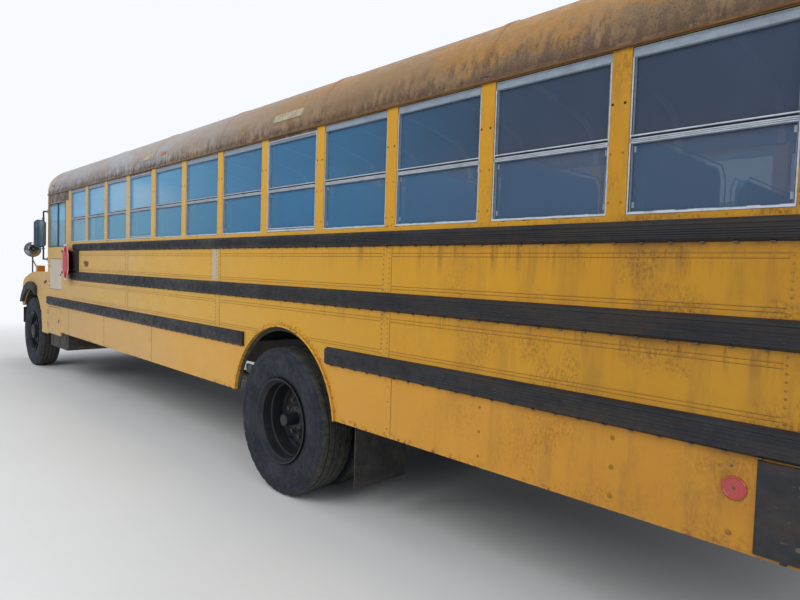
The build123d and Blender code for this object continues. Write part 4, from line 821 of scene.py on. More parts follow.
def make_rails():
    """Upper lip, groove and fine ribs on each rub rail, with clips along the lower edge."""
    shape = Shape()
    clips = Shape()
    for low, high, rear, left_front, right_front in RAIL_ROWS:
        for side, front in ((1, left_front), (-1, right_front)):
            face = SIDE + 0.022
            tall = high - low
            run = (rear + 0.002, front - 0.002)
            for number in range(4):
                z = low + 0.020 + (tall - 0.052) / 4 * (number + 0.5)
                shape.prism([(side * (face - 0.001), z - 0.0045), (side * (face + 0.0026), z - 0.003),
                             (side * (face + 0.0026), z + 0.003), (side * (face - 0.001), z + 0.0045)], "x",
                             *run)
            shape.prism([(side * (face - 0.001), high - 0.026), (side * (face + 0.004), high - 0.022),
                         (side * (face + 0.002), high - 0.012), (side * (SIDE + 0.012), high - 0.003),
                         (side * (SIDE + 0.008), high - 0.008)], "x", *run)
            count = int((front - rear) / 0.1125)
            for k in range(count):
                x = rear + 0.05 + (front - rear - 0.1) * k / (count - 1)
                clips.box((x - 0.008, x + 0.008), sorted((side * (SIDE + 0.001), side * (SIDE + 0.0105))),
                          (low - 0.0025, low + 0.003))
    shape.make("rail_ribs", "rail_black")
    clips.make("rail_clips", "bolt", bevel=0.0008)


def arch_breaks(z, rear, front):
    """Runs along the side at a height, left open where the rear wheel arch cuts through."""
    rise = z - ARCH_Z
    if rise > 0.655:
        return [(rear, front)]
    half = sqrt(0.662 ** 2 - rise ** 2)
    return [(rear, ARCH_X - half), (ARCH_X + half, front)]


def make_belt_details():
    """Lap seams with their rivets, creases along the belts, skirt seams and bolts, sill screws, and thin
    brown lines of painted shade under the creases and beside the seams.
    """
    seams = Shape()
    creases = Shape()
    rivets = Shape()
    bolts = Shape()
    face = SIDE + 0.0012
    for low, high in ((1.129, 1.386), (1.501, 1.760)):
        for index in (3, 6, 9, 12):
            x = post(index)
            seams.prism([(x - 0.026, SIDE - 0.001), (x + 0.052, SIDE - 0.001), (x + 0.048, face),
                         (x - 0.024, face)], "z", low, high)
            # Brown line beside each lap seam: painted shade at the lap's edge.
            creases.box((x - 0.029, x - 0.0262), (SIDE - 0.001, SIDE + 0.0008), (low, high))
            for k in range(9):
                z = low + 0.014 + (high - low - 0.028) * k / 8
                rivets.stud((x + 0.040, face, z), (0, 1, 0), 0.0050, 0.0024, 8)
                rivets.stud((x - 0.008, face, z + 0.008), (0, 1, 0), 0.0045, 0.0022, 8)
        for z in (high - 0.038, high - 0.056, low + 0.034, low + 0.018):
            for rear, front in arch_breaks(z, -5.365, 2.66):
                seams.prism([(SIDE - 0.001, z + 0.0016), (SIDE + 0.0018, z + 0.0022),
                             (SIDE + 0.0018, z + 0.0044),
                             (SIDE - 0.001, z + 0.005)], "x", rear, front)
                # Brown line just under each crease ridge: painted shade.
                creases.box((rear, front), (SIDE - 0.001, SIDE + 0.0004), (z - 0.0005, z + 0.0017))
    skirt_seams = Shape()
    for x in (2.827, 1.466, 0.096, -3.339):
        skirt_seams.prism([(x + 0.002, SIDE - 0.001), (x + 0.040, SIDE - 0.001), (x + 0.038, face),
                           (x + 0.003, face)], "z", 0.666, 1.009)
        # Brown line at each skirt seam: painted shade.
        creases.box((x - 0.0015, x + 0.002), (SIDE - 0.001, SIDE + 0.0006), (0.666, 1.010))
        for z in (0.716, 0.873, 0.960):
            rivets.stud((x + 0.028, face, z), (0, 1, 0), 0.0055, 0.0025, 8)
    # columns: station, rivet radius
    for x, size in ((-3.975, 0.0060), (-4.667, 0.0080), (-5.117, 0.0085)):
        for z in (0.720, 0.842, 0.964):
            if x > -5.0 or z < 0.73:
                bolts.stud((x, SIDE, z), (0, 1, 0), size, 0.0035, 12)
                bolts.lathe([(SIDE - 0.0005, size * 1.35), (SIDE + 0.0008, size * 1.3),
                             (SIDE + 0.0008, size * 0.9)],
                            (x, 0, z), "y", 14)
    for index in range(12):
        for k in range(4):
            x = post(index + 1) + 0.09 + 0.165 * k
            bolts.stud((x, SIDE, 1.8635), (0, 1, 0), 0.0038, 0.002, 8)
    for z in (1.420, 1.340, 1.180, 1.520, 1.620, 1.720):
        rivets.stud((-1.125, SIDE, z + 0.02), (0, 1, 0), 0.004, 0.002, 8)
    for shape in (seams, creases, rivets, bolts, skirt_seams):
        shape.mirrored()
    seams.make("belt_seams", "body_yellow")
    skirt_seams.make("skirt_seams", "skirt_orange")
    creases.make("crease_shade_lines", "crease")
    rivets.make("belt_rivets", "rivet_rust")
    bolts.make("skirt_bolts", "rivet_paint")


def make_windows():
    """Header, meeting rail, channels and sill of every sash, the escape windows' frames, post screws; the
    sills, rails, channels and escape frames in a brighter aluminium copy for painted sheen, and near-black
    painted shade in the sash gaps and the post holes.
    """
    metal = Shape()
    bright = Shape()
    dark = Shape()
    holes = Shape()
    screws = Shape()
    escape = Shape()
    bands = Shape()
    face = SIDE - 0.008
    half = 0.042
    for index in range(12):
        rear, front = post(index + 1) + half, post(index) - half
        run = (rear + 0.002, front - 0.002)
        header_top = 2.541
        if index in (3, 7):
            header_top = 2.519
            escape.frame("y", (rear + 0.009, front - 0.009), (SILL + 0.030, 2.517), face - 0.001, 0.0115,
                         0.0085)
            bright.prism([(face - 0.001, SILL + 0.003), (face + 0.008, SILL + 0.004),
                          (face + 0.008, SILL + 0.016),
                          (face + 0.003, SILL + 0.018), (face - 0.001, SILL + 0.020)], "x", *run)
            bands.prism([(face - 0.001, 2.5265), (face + 0.0075, 2.5275), (face + 0.0075, 2.5445),
                         (face - 0.001, 2.545)], "x", *run)
        else:
            # Near-black strip between the header and the roof edge: painted shadow under the roof edge.
            dark.box((rear, front), (face - 0.002, face + 0.0012), (header_top, WINDOW_TOP))
            x = run[0]
            while x < run[1] - 0.01:
                step = min(chance.uniform(0.02, 0.06), run[1] - x)
                top = chance.uniform(0.008, 0.012)
                bright.prism([(face - 0.001, SILL + 0.001), (face + 0.007, SILL + 0.002),
                              (face + 0.006, SILL + top),
                              (face - 0.001, SILL + top + 0.002)], "x", x, x + step)
                x += step
        metal.prism([(face - 0.001, 2.5025), (face + 0.0035, 2.5035), (face + 0.0035, 2.509),
                     (face + 0.0015, 2.511),
                     (face + 0.0015, header_top - 0.008), (face + 0.004, header_top - 0.007),
                     (face + 0.004, header_top - 0.001), (face - 0.001, header_top)], "x", *run)
        bright.prism([(face - 0.001, 2.1885), (face + 0.0055, 2.1895), (face + 0.0055, 2.194),
                      (face - 0.001, 2.1955)], "x", *run)
        # Near-black strip in the meeting-rail gap: painted shade.
        dark.box(run, (face - 0.002, face + 0.0008), (2.1815, 2.1885))
        for k in range(3):
            z = 2.1615 + 0.0066 * k
            bright.prism([(face - 0.001, z), (face + 0.0045, z + 0.001), (face + 0.0045, z + 0.0044),
                          (face - 0.001, z + 0.0056)], "x", *run)
        for edge, way in ((rear, 1), (front, -1)):
            x = sorted((edge + way * 0.0015, edge + way * 0.0070))
            bright.box(x, (face - 0.001, face + 0.0045), (SILL + 0.006, 2.502))
            # Near-black strip beside each channel: painted shade in the gap at the post.
            x = sorted((edge + way * 0.0075, edge + way * 0.0105))
            dark.box(x, (face - 0.002, face + 0.0006), (SILL + 0.006, 2.502))
            x = edge + way * 0.020
            for z in (2.128, 1.905):
                metal.box((x - 0.0045, x + 0.0045), (face - 0.021, face - 0.0115), (z, z + 0.024))
    for index in range(13):
        x = post(index)
        for shift in (-0.020, 0.033):
            # Dark flat discs for the post holes: painted shade.
            holes.stud((x + shift, SIDE, 2.328), (0, 1, 0), 0.0062, 0.0006, 10)
            for z in (2.128, 1.930):
                screws.stud((x + shift, SIDE, z), (0, 1, 0), 0.0058, 0.0026, 10)
    for shape in (metal, bright, dark, holes, screws, escape, bands):
        shape.mirrored()
    metal.make("sash_headers", "sash_aluminium")
    # Sills, meeting rails, channels and escape frames in the brighter copy of the aluminium: painted sheen.
    bright.make("sash_rails", "sash_bright")
    escape.make("escape_window_frames", "sash_bright")
    bands.make("escape_window_bands", "roof_tan")
    dark.make("sash_gap_shadows", "dark_gap")
    holes.make("post_hole_shadows", "dark_gap")
    screws.make("post_screws", "rivet_paint")


def roof_point(angle_deg, lift=0.0):
    """A point on the roof's left half: 0 at the gutter, 74 at the end of the corner arc, 90 mid roof."""
    corner = 0.388
    centre_y = SIDE - corner
    if angle_deg <= 74:
        angle = radians(angle_deg)
        return centre_y + (corner + lift) * cos(angle), GUTTER + (corner + lift) * sin(angle)
    blend_y = centre_y + corner * sin(radians(16))
    blend_z = GUTTER + corner * cos(radians(16))
    radius = blend_y / sin(radians(16))
    centre_z = blend_z - radius * cos(radians(16))
    angle = radians(angle_deg)
    return (radius + lift) * cos(angle), centre_z + (radius + lift) * sin(angle)


def make_roof_details():
    """Lap seams over the roof with rivets, the drip rail's lip, blank plates and small side lamps."""
    bands = Shape()
    rivets = Shape()
    angles = [3 + 71 * k / 12 for k in range(13)] + [74 + 16 * k / 6 for k in range(1, 7)]
    rows = [(-0.024, -0.002), (-0.020, 0.0022), (0.014, 0.0016), (0.020, 0.0045), (0.026, 0.0045),
            (0.030, -0.002)]
    for index in (2, 4, 6, 8, 10):
        x = post(index) + 0.02
        points = []
        faces = []
        lines = []
        for shift, lift in rows:
            half = [roof_point(angle, lift) for angle in angles]
            half = [(y, min(z, CROWN)) for y, z in half]
            lines.append(half + [(-y, z) for y, z in reversed(half[:-1])])
        count = len(lines[0])
        for k in range(count):
            points += [(x + rows[j][0], lines[j][k][0], lines[j][k][1]) for j in range(len(rows))]
        for k in range(count - 1):
            for j in range(len(rows) - 1):
                a = len(rows) * k + j
                faces.append((a, a + 1, a + len(rows) + 1, a + len(rows)))
        bands.add(points, faces)
        for k in range(count - 1):
            y, z = lines[1][k]
            y2, z2 = lines[1][k + 1]
            for part in (0.0, 0.5):
                py, pz = y + (y2 - y) * part, z + (z2 - z) * part
                if pz < CROWN - 0.003:
                    rivets.stud((x - 0.010, py, pz), (0, py, pz - 1.9), 0.0050, 0.0026, 6)
    bands.make("roof_seams", "roof_tan")
    rivets.make("roof_rivets", "roof_tan")
    lip = Shape()
    lip.prism([(SIDE + 0.0135, 2.5462), (SIDE + 0.0140, 2.5455), (SIDE + 0.0150, 2.5465),
               (SIDE + 0.0150, 2.5530),
               (SIDE + 0.0140, 2.5545)], "x", -5.345, 3.798)
    lip.mirrored()
    lip.make("drip_lip", "drip_lip")
    plates = Shape()
    for start, end in ((7.13, 7.65), (3.55, 3.95)):
        low, high = (roof_point(angle, -0.001) for angle in (13.5, 23.0))
        low_out, high_out = (roof_point(angle, 0.0035) for angle in (13.9, 22.6))
        x = (post(end), post(start))
        points = []
        for station, inner in ((x[0], 0), (x[0] + 0.002, 1), (x[1] - 0.002, 1), (x[1], 0)):
            a, b = (low_out, high_out) if inner else (low, high)
            points += [(station, *a), (station, *b)]
        faces = [(0, 1, 3, 2), (2, 3, 5, 4), (4, 5, 7, 6)]
        plates.add(points, faces)
    plates.make("roof_plates", "blank_plate")
    lamps = Shape()
    y, z = roof_point(17, 0.0)
    for x in (-0.10, 3.62, -5.20):
        lamps.prism([(x - 0.045, z - 0.014), (x + 0.045, z - 0.014), (x + 0.050, z), (x + 0.045, z + 0.014),
                     (x - 0.045, z + 0.014), (x - 0.050, z)], "y", y - 0.012, y + 0.010)
    lamps.mirrored()
    lamps.make("side_marker_lamps", "amber_lens", bevel=0.003)


def make_side_fittings():
    """Reflectors, arch clip, bumper foot, belt patch and bracket, hatch latches and rims, driver's header."""
    shape = Shape()
    for side in (1, -1):
        for x, z in ((post(11.734), 0.886),):
            centre = (x, side * SIDE, z)
            shape.kind = 0
            shape.lathe([(side * -0.001, 0.0425), (side * 0.006, 0.0425), (side * 0.008, 0.040),
                         (side * 0.008, 0.036),
                         (side * 0.006, 0.034), (side * 0.0065, 0.006), (side * 0.0065, 0.0001)], centre,
                         "y", 32)
            shape.kind = 1
            shape.stud((x, side * (SIDE + 0.0065), z), (0, side, 0), 0.006, 0.002)
            shape.stud((x + 0.012, side * SIDE, z + 0.078), (0, side, 0), 0.0055, 0.003)
    shape.make("side_reflectors", ["reflector", "bolt"])
    clip = Shape()
    clip.prism([(-1.735, 0.800), (-1.655, 0.812), (-1.652, 0.872), (-1.735, 0.868)], "y", SIDE - 0.062,
               SIDE - 0.040)
    clip.prism([(-1.750, 0.796), (-1.735, 0.796), (-1.735, 0.872), (-1.750, 0.872)], "y", SIDE - 0.066,
               SIDE - 0.030)
    clip.stud((-1.690, SIDE - 0.040, 0.842), (0, 1, 0), 0.007, 0.004)
    clip.make("arch_clip", "seat_steel", bevel=0.0015)
    stub = Shape()
    stub.prism([(-5.303, 0.664), (-5.281, 0.664), (-5.281, 0.680), (-5.303, 0.680)], "y", 1.150,
               SIDE + 0.008)
    stub.make("bumper_foot", "rail_black", bevel=0.003)
    patch = Shape()
    patch.box((-1.243, -1.146), (SIDE - 0.001, SIDE + 0.0016), (1.503, 1.758))
    for z in (1.530, 1.63, 1.735):
        patch.stud((-1.232, SIDE + 0.0016, z), (0, 1, 0), 0.0045, 0.002, 8)
        patch.stud((-1.157, SIDE + 0.0016, z), (0, 1, 0), 0.0045, 0.002, 8)
    patch.make("belt_patch", "pale_panel")
    bracket = Shape()
    bracket.prism([(2.205, 1.625), (2.13, 1.640), (2.03, 1.625), (2.06, 1.575), (2.14, 1.565)], "y",
                  SIDE - 0.001, SIDE + 0.006)
    bracket.stud((2.10, SIDE + 0.006, 1.602), (0, 1, 0), 0.012, 0.006)
    bracket.stud((2.165, SIDE + 0.006, 1.610), (0, 1, 0), 0.007, 0.004)
    bracket.make("belt_bracket", "rust_metal", bevel=0.001)
    latch = Shape()
    latch.lathe([(SIDE - 0.003, 0.026), (SIDE + 0.003, 0.026), (SIDE + 0.004, 0.023), (SIDE + 0.001, 0.019),
                 (SIDE + 0.001, 0.0001)], (3.270, 0, 0.806), "y", 24)
    latch.box((3.262, 3.278), (SIDE - 0.002, SIDE + 0.006), (0.786, 0.826))
    latch.make("battery_latch", "steel", "battery_door", bevel=0.001)
    knob = Shape()
    knob.lathe([(SIDE - 0.002, 0.015), (SIDE + 0.004, 0.015), (SIDE + 0.005, 0.012),
                (SIDE + 0.005, 0.0001)],
               (3.185, 0, 1.440), "y", 20)
    knob.box((3.182, 3.188), (SIDE, SIDE + 0.009), (1.428, 1.452))
    knob.make("electrical_latch", "steel", "electrical_door", bevel=0.0008)
    rims = Shape()
    rims.frame("y", (3.134, 3.731), (1.232, 1.662), SIDE - 0.0005, 0.0020, 0.010)
    rims.frame("y", (3.178, 3.806), (0.612, 0.991), SIDE - 0.0005, 0.0010, 0.004)
    rims.make("hatch_rims", "body_yellow")
    panel = Shape()
    panel.box((2.842, 3.798), (SIDE - 0.001, SIDE + 0.0012), (2.424, 2.545))
    for k in range(9):
        panel.stud((2.862 + 0.114 * k, SIDE + 0.0012, 2.438), (0, 1, 0), 0.0045, 0.002, 8)
    panel.make("driver_header", "roof_tan")


def make_arch_lip():
    """Rolled edge round the rear wheel arches, with its screws, and a dark rubber strip just inside as a
    painted shadow line.
    """
    lip = Shape()
    screws = Shape()
    strip = Shape()
    centre = (ARCH_X, 0, ARCH_Z)
    low = degrees_from(0.663)
    rows = [(SIDE - 0.001, 0.6375), (SIDE + 0.0025, 0.6365), (SIDE + 0.0050, 0.6335),
            (SIDE + 0.0045, 0.6300),
            (SIDE + 0.001, 0.6285), (SIDE - 0.012, 0.6285)]
    lip.lathe(rows, centre, "y", 72, low, 180 - 2 * low)
    for k in range(11):
        angle = radians(low + 6 + (168 - 2 * low) * k / 10)
        screws.stud((centre[0] + 0.655 * cos(angle), SIDE, centre[2] + 0.655 * sin(angle)), (0, 1, 0),
                    0.0055, 0.003, 8)
    # Dark strip just inside the arch edge: painted shadow line.
    strip.lathe([(SIDE - 0.014, 0.628), (SIDE - 0.018, 0.600), (SIDE - 0.024, 0.600),
                 (SIDE - 0.024, 0.628)],
                centre, "y", 72, low, 180 - 2 * low)
    for shape in (lip, screws, strip):
        shape.mirrored()
    lip.make("arch_lips", "body_yellow")
    screws.make("arch_screws", "rivet_paint")
    strip.make("arch_shadow_strips", "seal")


def degrees_from(level):
    """Angle on the rear arch at which its edge reaches a height."""
    return degrees(asin((level + 0.004 - ARCH_Z) / 0.629))


# Stop arm, mirrors and front

def sign_place(along, out, z):
    """A point on the stop sign's face: distance back from the hinge, out of the face, and height."""
    turn = radians(6.6)
    x = post(0) + 0.162 - along * cos(turn) + out * sin(-turn)
    y = SIDE + 0.038 + along * sin(turn) + out * cos(turn)
    return x, y, z


def make_stop_arm():
    """White border on both faces of the sign, two blank lamps, and the housing's cover and bolts."""
    border = Shape()
    lamps = Shape()
    half = SIGN_HALF
    corner = half * tan(radians(22.5))
    base = [(0, -corner), (half - corner, -half), (half + corner, -half), (2 * half, -corner),
            (2 * half, corner),
            (half + corner, half), (half - corner, half), (0, corner)]
    for out, level in ((0.005, 0.0008), (0.0, -0.0008)):
        points = []
        for scale, lift in ((0.992, 0.0), (0.985, 1.0), (0.925, 1.0), (0.918, 0.0)):
            for along, rise in base:
                points.append(sign_place(half + (along - half) * scale, out + level * lift,
                                         SIGN_Z + rise * scale))
        faces = []
        for loop in range(3):
            for k in range(8):
                n = (k + 1) % 8
                faces.append((8 * loop + k, 8 * loop + n, 8 * loop + 8 + n, 8 * loop + 8 + k))
        border.add(points, faces)
        for rise in (-0.165, 0.165):
            rows = [(0.0, 0.040), (0.010, 0.038), (0.017, 0.026), (0.019, 0.001)]
            points = []
            way = 1 if out else -1
            for along_out, radius in rows:
                for k in range(20):
                    angle = radians(18 * k)
                    points.append(sign_place(half + radius * cos(angle), out + way * along_out,
                                             SIGN_Z + rise + radius * sin(angle)))
            faces = [(20 * r + k, 20 * r + (k + 1) % 20, 20 * r + 20 + (k + 1) % 20, 20 * r + 20 + k)
                     for r in range(3) for k in range(20)]
            lamps.add(points, faces)
    border.make("sign_border", "sign_white", "stop_arm")
    lamps.make("sign_lamps", "red_lens", "stop_arm")
    case = Shape()
    case.prism([(post(0) - 0.384, 1.512), (post(0) - 0.05, 1.512), (post(0) - 0.05, 1.753),
                (post(0) - 0.384, 1.753)],
               "y", SIDE + 0.0235, SIDE + 0.0275)
    for x in (post(0) - 0.372, post(0) - 0.062):
        for z in (1.524, 1.632, 1.741):
            case.bolt((x, SIDE + 0.0275, z), (0, 1, 0), 0.006, 0.005)
    case.make("stop_housing_cover", "black_plastic", bevel=0.002)


def make_mirrors():
    """Glass, rim and clamps of the driving mirrors, and rims of the convex mirrors."""
    glass = Shape()
    rims = Shape()
    clamps = Shape()
    x = FRONT + 0.060
    near, far = SIDE, SIDE + 0.140
    outline = [(near + 0.035, 1.817), (far - 0.035, 1.817), (far, 1.852), (far, 2.171),
               (far - 0.035, 2.206),
               (near + 0.035, 2.206), (near, 2.171), (near, 1.852)]
    middle = ((near + far) / 2, 2.0115)
    inner = [(middle[0] + (a - middle[0]) * 0.88, middle[1] + (b - middle[1]) * 0.95) for a, b in outline]
    glass.prism(inner, "x", x - 0.0365, x - 0.0345)
    rims.prism([(middle[0] + (a - middle[0]) * 0.985, middle[1] + (b - middle[1]) * 0.99) for a,
                b in outline],
               "x", x + 0.0345, x + 0.044)
    for z in (1.8, 2.225):
        clamps.lathe([(z - 0.010, 0.0112), (z - 0.010, 0.018), (z + 0.010, 0.018), (z + 0.010, 0.0112)],
                     (x, SIDE + 0.025, 0), "z", 16)
        clamps.bolt((x, SIDE + 0.043, z), (0, 1, 0), 0.005, 0.006)
    for z in (1.650, 2.330):
        clamps.prism([(1.120, z - 0.03), (1.185, z - 0.03), (1.185, z + 0.03), (1.120, z + 0.03)], "x",
                     FRONT + 0.0003, FRONT + 0.006)
        for shift in (-0.02, 0.02):
            clamps.bolt((FRONT + 0.006, 1.135, z + shift), (1, 0, 0), 0.005, 0.005)
    for shape in (glass, rims, clamps):
        shape.mirrored()
    glass.make("mirror_panes", "mirror_glass", bevel=0.0006)
    rims.make("mirror_shells", "black_plastic", bevel=0.008)
    clamps.make("mirror_clamps", "bolt")
    convex = Shape()
    x = FRONT_AXLE + 0.304
    convex.kind = 0
    convex.lathe([(-0.034, 0.001), (-0.040, 0.060), (-0.030, 0.092), (-0.012, 0.114)], (x, 1.090, 1.800),
                 "x", 40)
    convex.kind = 1
    convex.lathe([(-0.012, 0.1145), (-0.012, 0.1175), (-0.006, 0.120), (0.010, 0.120), (0.014, 0.116)],
                 (x, 1.090, 1.800), "x", 40)
    convex.mirrored()
    convex.make("convex_mirrors", ["mirror_glass", "black_plastic"], "hood")


def make_front():
    """Headlamp rims, windshield seals, wipers, hood straps, flare bolts, bumper edges, black fender liners as
    painted shade inside the front arches, the frame of the driver's window and the grille's uprights."""
    hood_front = FRONT_AXLE + 0.604
    fender = 1.165
    rims = Shape()
    seals = Shape()
    wipers = Shape()
    straps = Shape()
    bolts = Shape()
    edges = Shape()
    liner = Shape()
    for side in (1, -1):
        rims.frame("x", sorted((side * 0.704, side * 1.006)), (1.024, 1.186), hood_front - 0.003, 0.008,
                   0.020)
        seals.frame("x", sorted((side * 0.040, side * 1.060)), (1.800, 2.400), FRONT - 0.001, 0.009, 0.026)
        pivot = Vector((FRONT + 0.012, side * 0.30, 1.775))
        tip = Vector((FRONT + 0.014, side * 0.62, 2.10))
        wipers.lathe([(0.0, 0.020), (0.012, 0.018), (0.020, 0.010), (0.022, 0.0005)],
                     (FRONT - 0.001, pivot.y, pivot.z),
                     "x", 20)
        wipers.tube([pivot, (pivot + tip) / 2, tip], 0.005, 8)
        blade = Vector((0, side * 0.30, 0.42)).normalized() * 0.24
        wipers.tube([tip - blade, tip, tip + blade], 0.0065, 6)
        y = side * fender
        straps.kind = 0
        straps.prism([(4.025, 1.345), (4.10, 1.322), (4.105, 1.300), (4.020, 1.322)], "y",
                     *sorted((y - side * 0.001, y + side * 0.010)))
        straps.kind = 1
        straps.lathe([(y, 0.020), (y + side * 0.014, 0.017), (y + side * 0.016, 0.010),
                      (y + side * 0.016, 0.0005)],
                     (4.10, 0, 1.312), "y", 18)
        for k in range(8):
            angle = radians(40 + 11 * k)
            place = (FRONT_AXLE + 0.645 * cos(angle), side * 1.207, 0.600 + 0.645 * sin(angle))
            bolts.stud(place, (0, side, 0), 0.008, 0.004, 10)
        for z in (0.852, 0.627):
            edges.tube([(5.596, side * 0.86, z), (5.560, side * 1.08, z)], 0.004, 8)
        # Black liner under each front fender: painted shade inside the arch.
        liner.lathe([(side * 1.132, 0.587), (side * 1.110, 0.583), (side * 1.000, 0.583),
                     (side * 0.800, 0.586)],
                    (FRONT_AXLE, 0, 0.600), "y", 60, 3, 174)
    rims.make("headlamp_rims", "steel", "hood", bevel=0.001)
    seals.make("windshield_seals", "seal")
    wipers.make("wipers", "black_plastic")
    straps.make("hood_straps", ["seal", "steel"], "hood", bevel=0.001)
    bolts.make("flare_bolts", "bolt", "hood")
    edges.make("front_bumper_edges", "rail_black")
    liner.make("fender_shade_liners", "seal")
    driver = Shape()
    driver.frame("y", (2.982, 3.794), (1.824, 2.412), SIDE - 0.001, 0.004, -0.010)
    driver.prism([(3.375, 1.824), (3.395, 1.824), (3.395, 2.412), (3.375, 2.412)], "y", SIDE - 0.026,
                 SIDE - 0.010)
    driver.make("driver_window_frame", "black_plastic")
    ribs = Shape()
    for y in (-0.25, 0.0, 0.25):
        ribs.prism([(y - 0.006, 0.950), (y + 0.006, 0.950), (y + 0.006, 1.360), (y - 0.006, 1.360)], "x",
                   hood_front - 0.022, hood_front - 0.006)
    ribs.make("grille_uprights", "black_plastic", "hood", bevel=0.002)


def make_rear():
    """Window and door seals, the rear door's edge and handle, lamp rims and domes, bumper bolts."""
    seals = Shape()
    for side in (1, -1):
        seals.frame("x", sorted((side * 0.570, side * 1.020)), (1.876, 2.440), REAR + 0.001, -0.009, 0.024)
    seals.make("rear_window_seals", "seal")
    door = Shape()
    for z in ((1.290, 1.700), (1.860, 2.360)):
        door.frame("x", (-0.360, 0.360), z, REAR + 0.001, -0.009, 0.024)
    door.make("rear_door_seals", "seal", "rear_door")
    edge = Shape()
    edge.frame("x", (-0.466, 0.466), (1.109, 2.426), REAR + 0.001, -0.003, 0.010)
    edge.make("rear_door_edge", "seal", "rear_door")
    handle = Shape()
    handle.tube([(REAR - 0.028, 0.410, 1.780), (REAR - 0.040, 0.405, 1.74), (REAR - 0.044, 0.395, 1.66),
                 (REAR - 0.042, 0.390, 1.60)], 0.011, 12)
    handle.lathe([(-0.002, 0.034), (-0.010, 0.032), (-0.014, 0.020), (-0.032, 0.016), (-0.034, 0.001)],
                 (REAR, 0.410, 1.780), "x", 24)
    handle.make("rear_door_handle", "steel", "rear_door")
    rings = Shape()
    lenses = Shape()
    rows = [(REAR, -1, 0.930, 2.640, 0.088), (REAR, -1, 0.960, 1.420, 0.088),
            (REAR, -1, 0.960, 1.640, 0.050),
            (REAR, -1, 0.700, 2.640, 0.088), (REAR, -1, 0.760, 1.420, 0.070),
            (FRONT, 1, 0.930, 2.640, 0.088),
            (FRONT, 1, 0.700, 2.640, 0.088)]
    for x, way, y, z, radius in rows:
        rings.lathe([(0, radius + 0.016), (way * 0.020, radius + 0.014), (way * 0.026, radius + 0.008),
                     (way * 0.026, radius), (way * 0.020, radius - 0.002)], (x, y, z), "x", 32)
    rings.mirrored()
    rings.make("lamp_rims", "black_plastic")
    for x, way, y, z, radius in rows:
        amber = y < 0.8
        lenses.kind = 1 if amber else 0
        lenses.lathe([(way * 0.0335, radius * 0.97), (way * 0.0375, radius * 0.80),
                      (way * 0.040, radius * 0.40),
                      (way * 0.0405, 0.0005)], (x, y, z), "x", 32)
    lenses.mirrored()
    lenses.make("lamp_domes", ["red_lens", "amber_lens"])
    bolts = Shape()
    for side in (1, -1):
        for y in (0.30, 0.42, 0.95):
            for z in (0.76, 0.92):
                bolts.bolt((-5.6055, side * y, z), (-1, 0, 0), 0.013, 0.0005)
        for z in (0.735, 0.945):
            bolts.stud((-5.335, side * 1.209, z), (0, side, 0), 0.010, 0.0045, 12)
    bolts.make("rear_bumper_bolts", "bolt")


def make_entrance():
    """Rubber edges and pane seals of the folding leaves, and the handrail inside."""
    middle = (post(0) + 0.218 + 3.762) / 2
    low, high = 0.386, 2.424
    for label, x in (("front", (middle + 0.004, 3.756)), ("rear", (post(0) + 0.224, middle - 0.004))):
        seals = Shape()
        inner = (x[0] + 0.060, x[1] - 0.060)
        for z in ((low + 0.150, 1.330), (1.430, high - 0.080)):
            seals.frame("y", inner, z, -SIDE + 0.001, -0.006, 0.018)
        edge = x[0] if label == "front" else x[1]
        way = -1 if label == "front" else 1
        seals.prism([(edge + way * 0.0005, -SIDE + 0.003), (edge - way * 0.022, -SIDE - 0.004),
                     (edge - way * 0.026, -SIDE + 0.001), (edge + way * 0.0005, -SIDE + 0.012)], "z",
                     low + 0.01, high - 0.01)
        seals.make("entrance_seals_" + label, "seal", "entrance_leaf_" + label)
    bar = Shape()
    bar.tube([(2.93, -1.08, 1.18), (2.93, -1.02, 1.22), (2.93, -0.82, 1.60), (2.93, -0.66, 1.92),
              (2.93, -0.62, 2.0)],
             0.014, 12)
    bar.make("entrance_handrail", "steel")


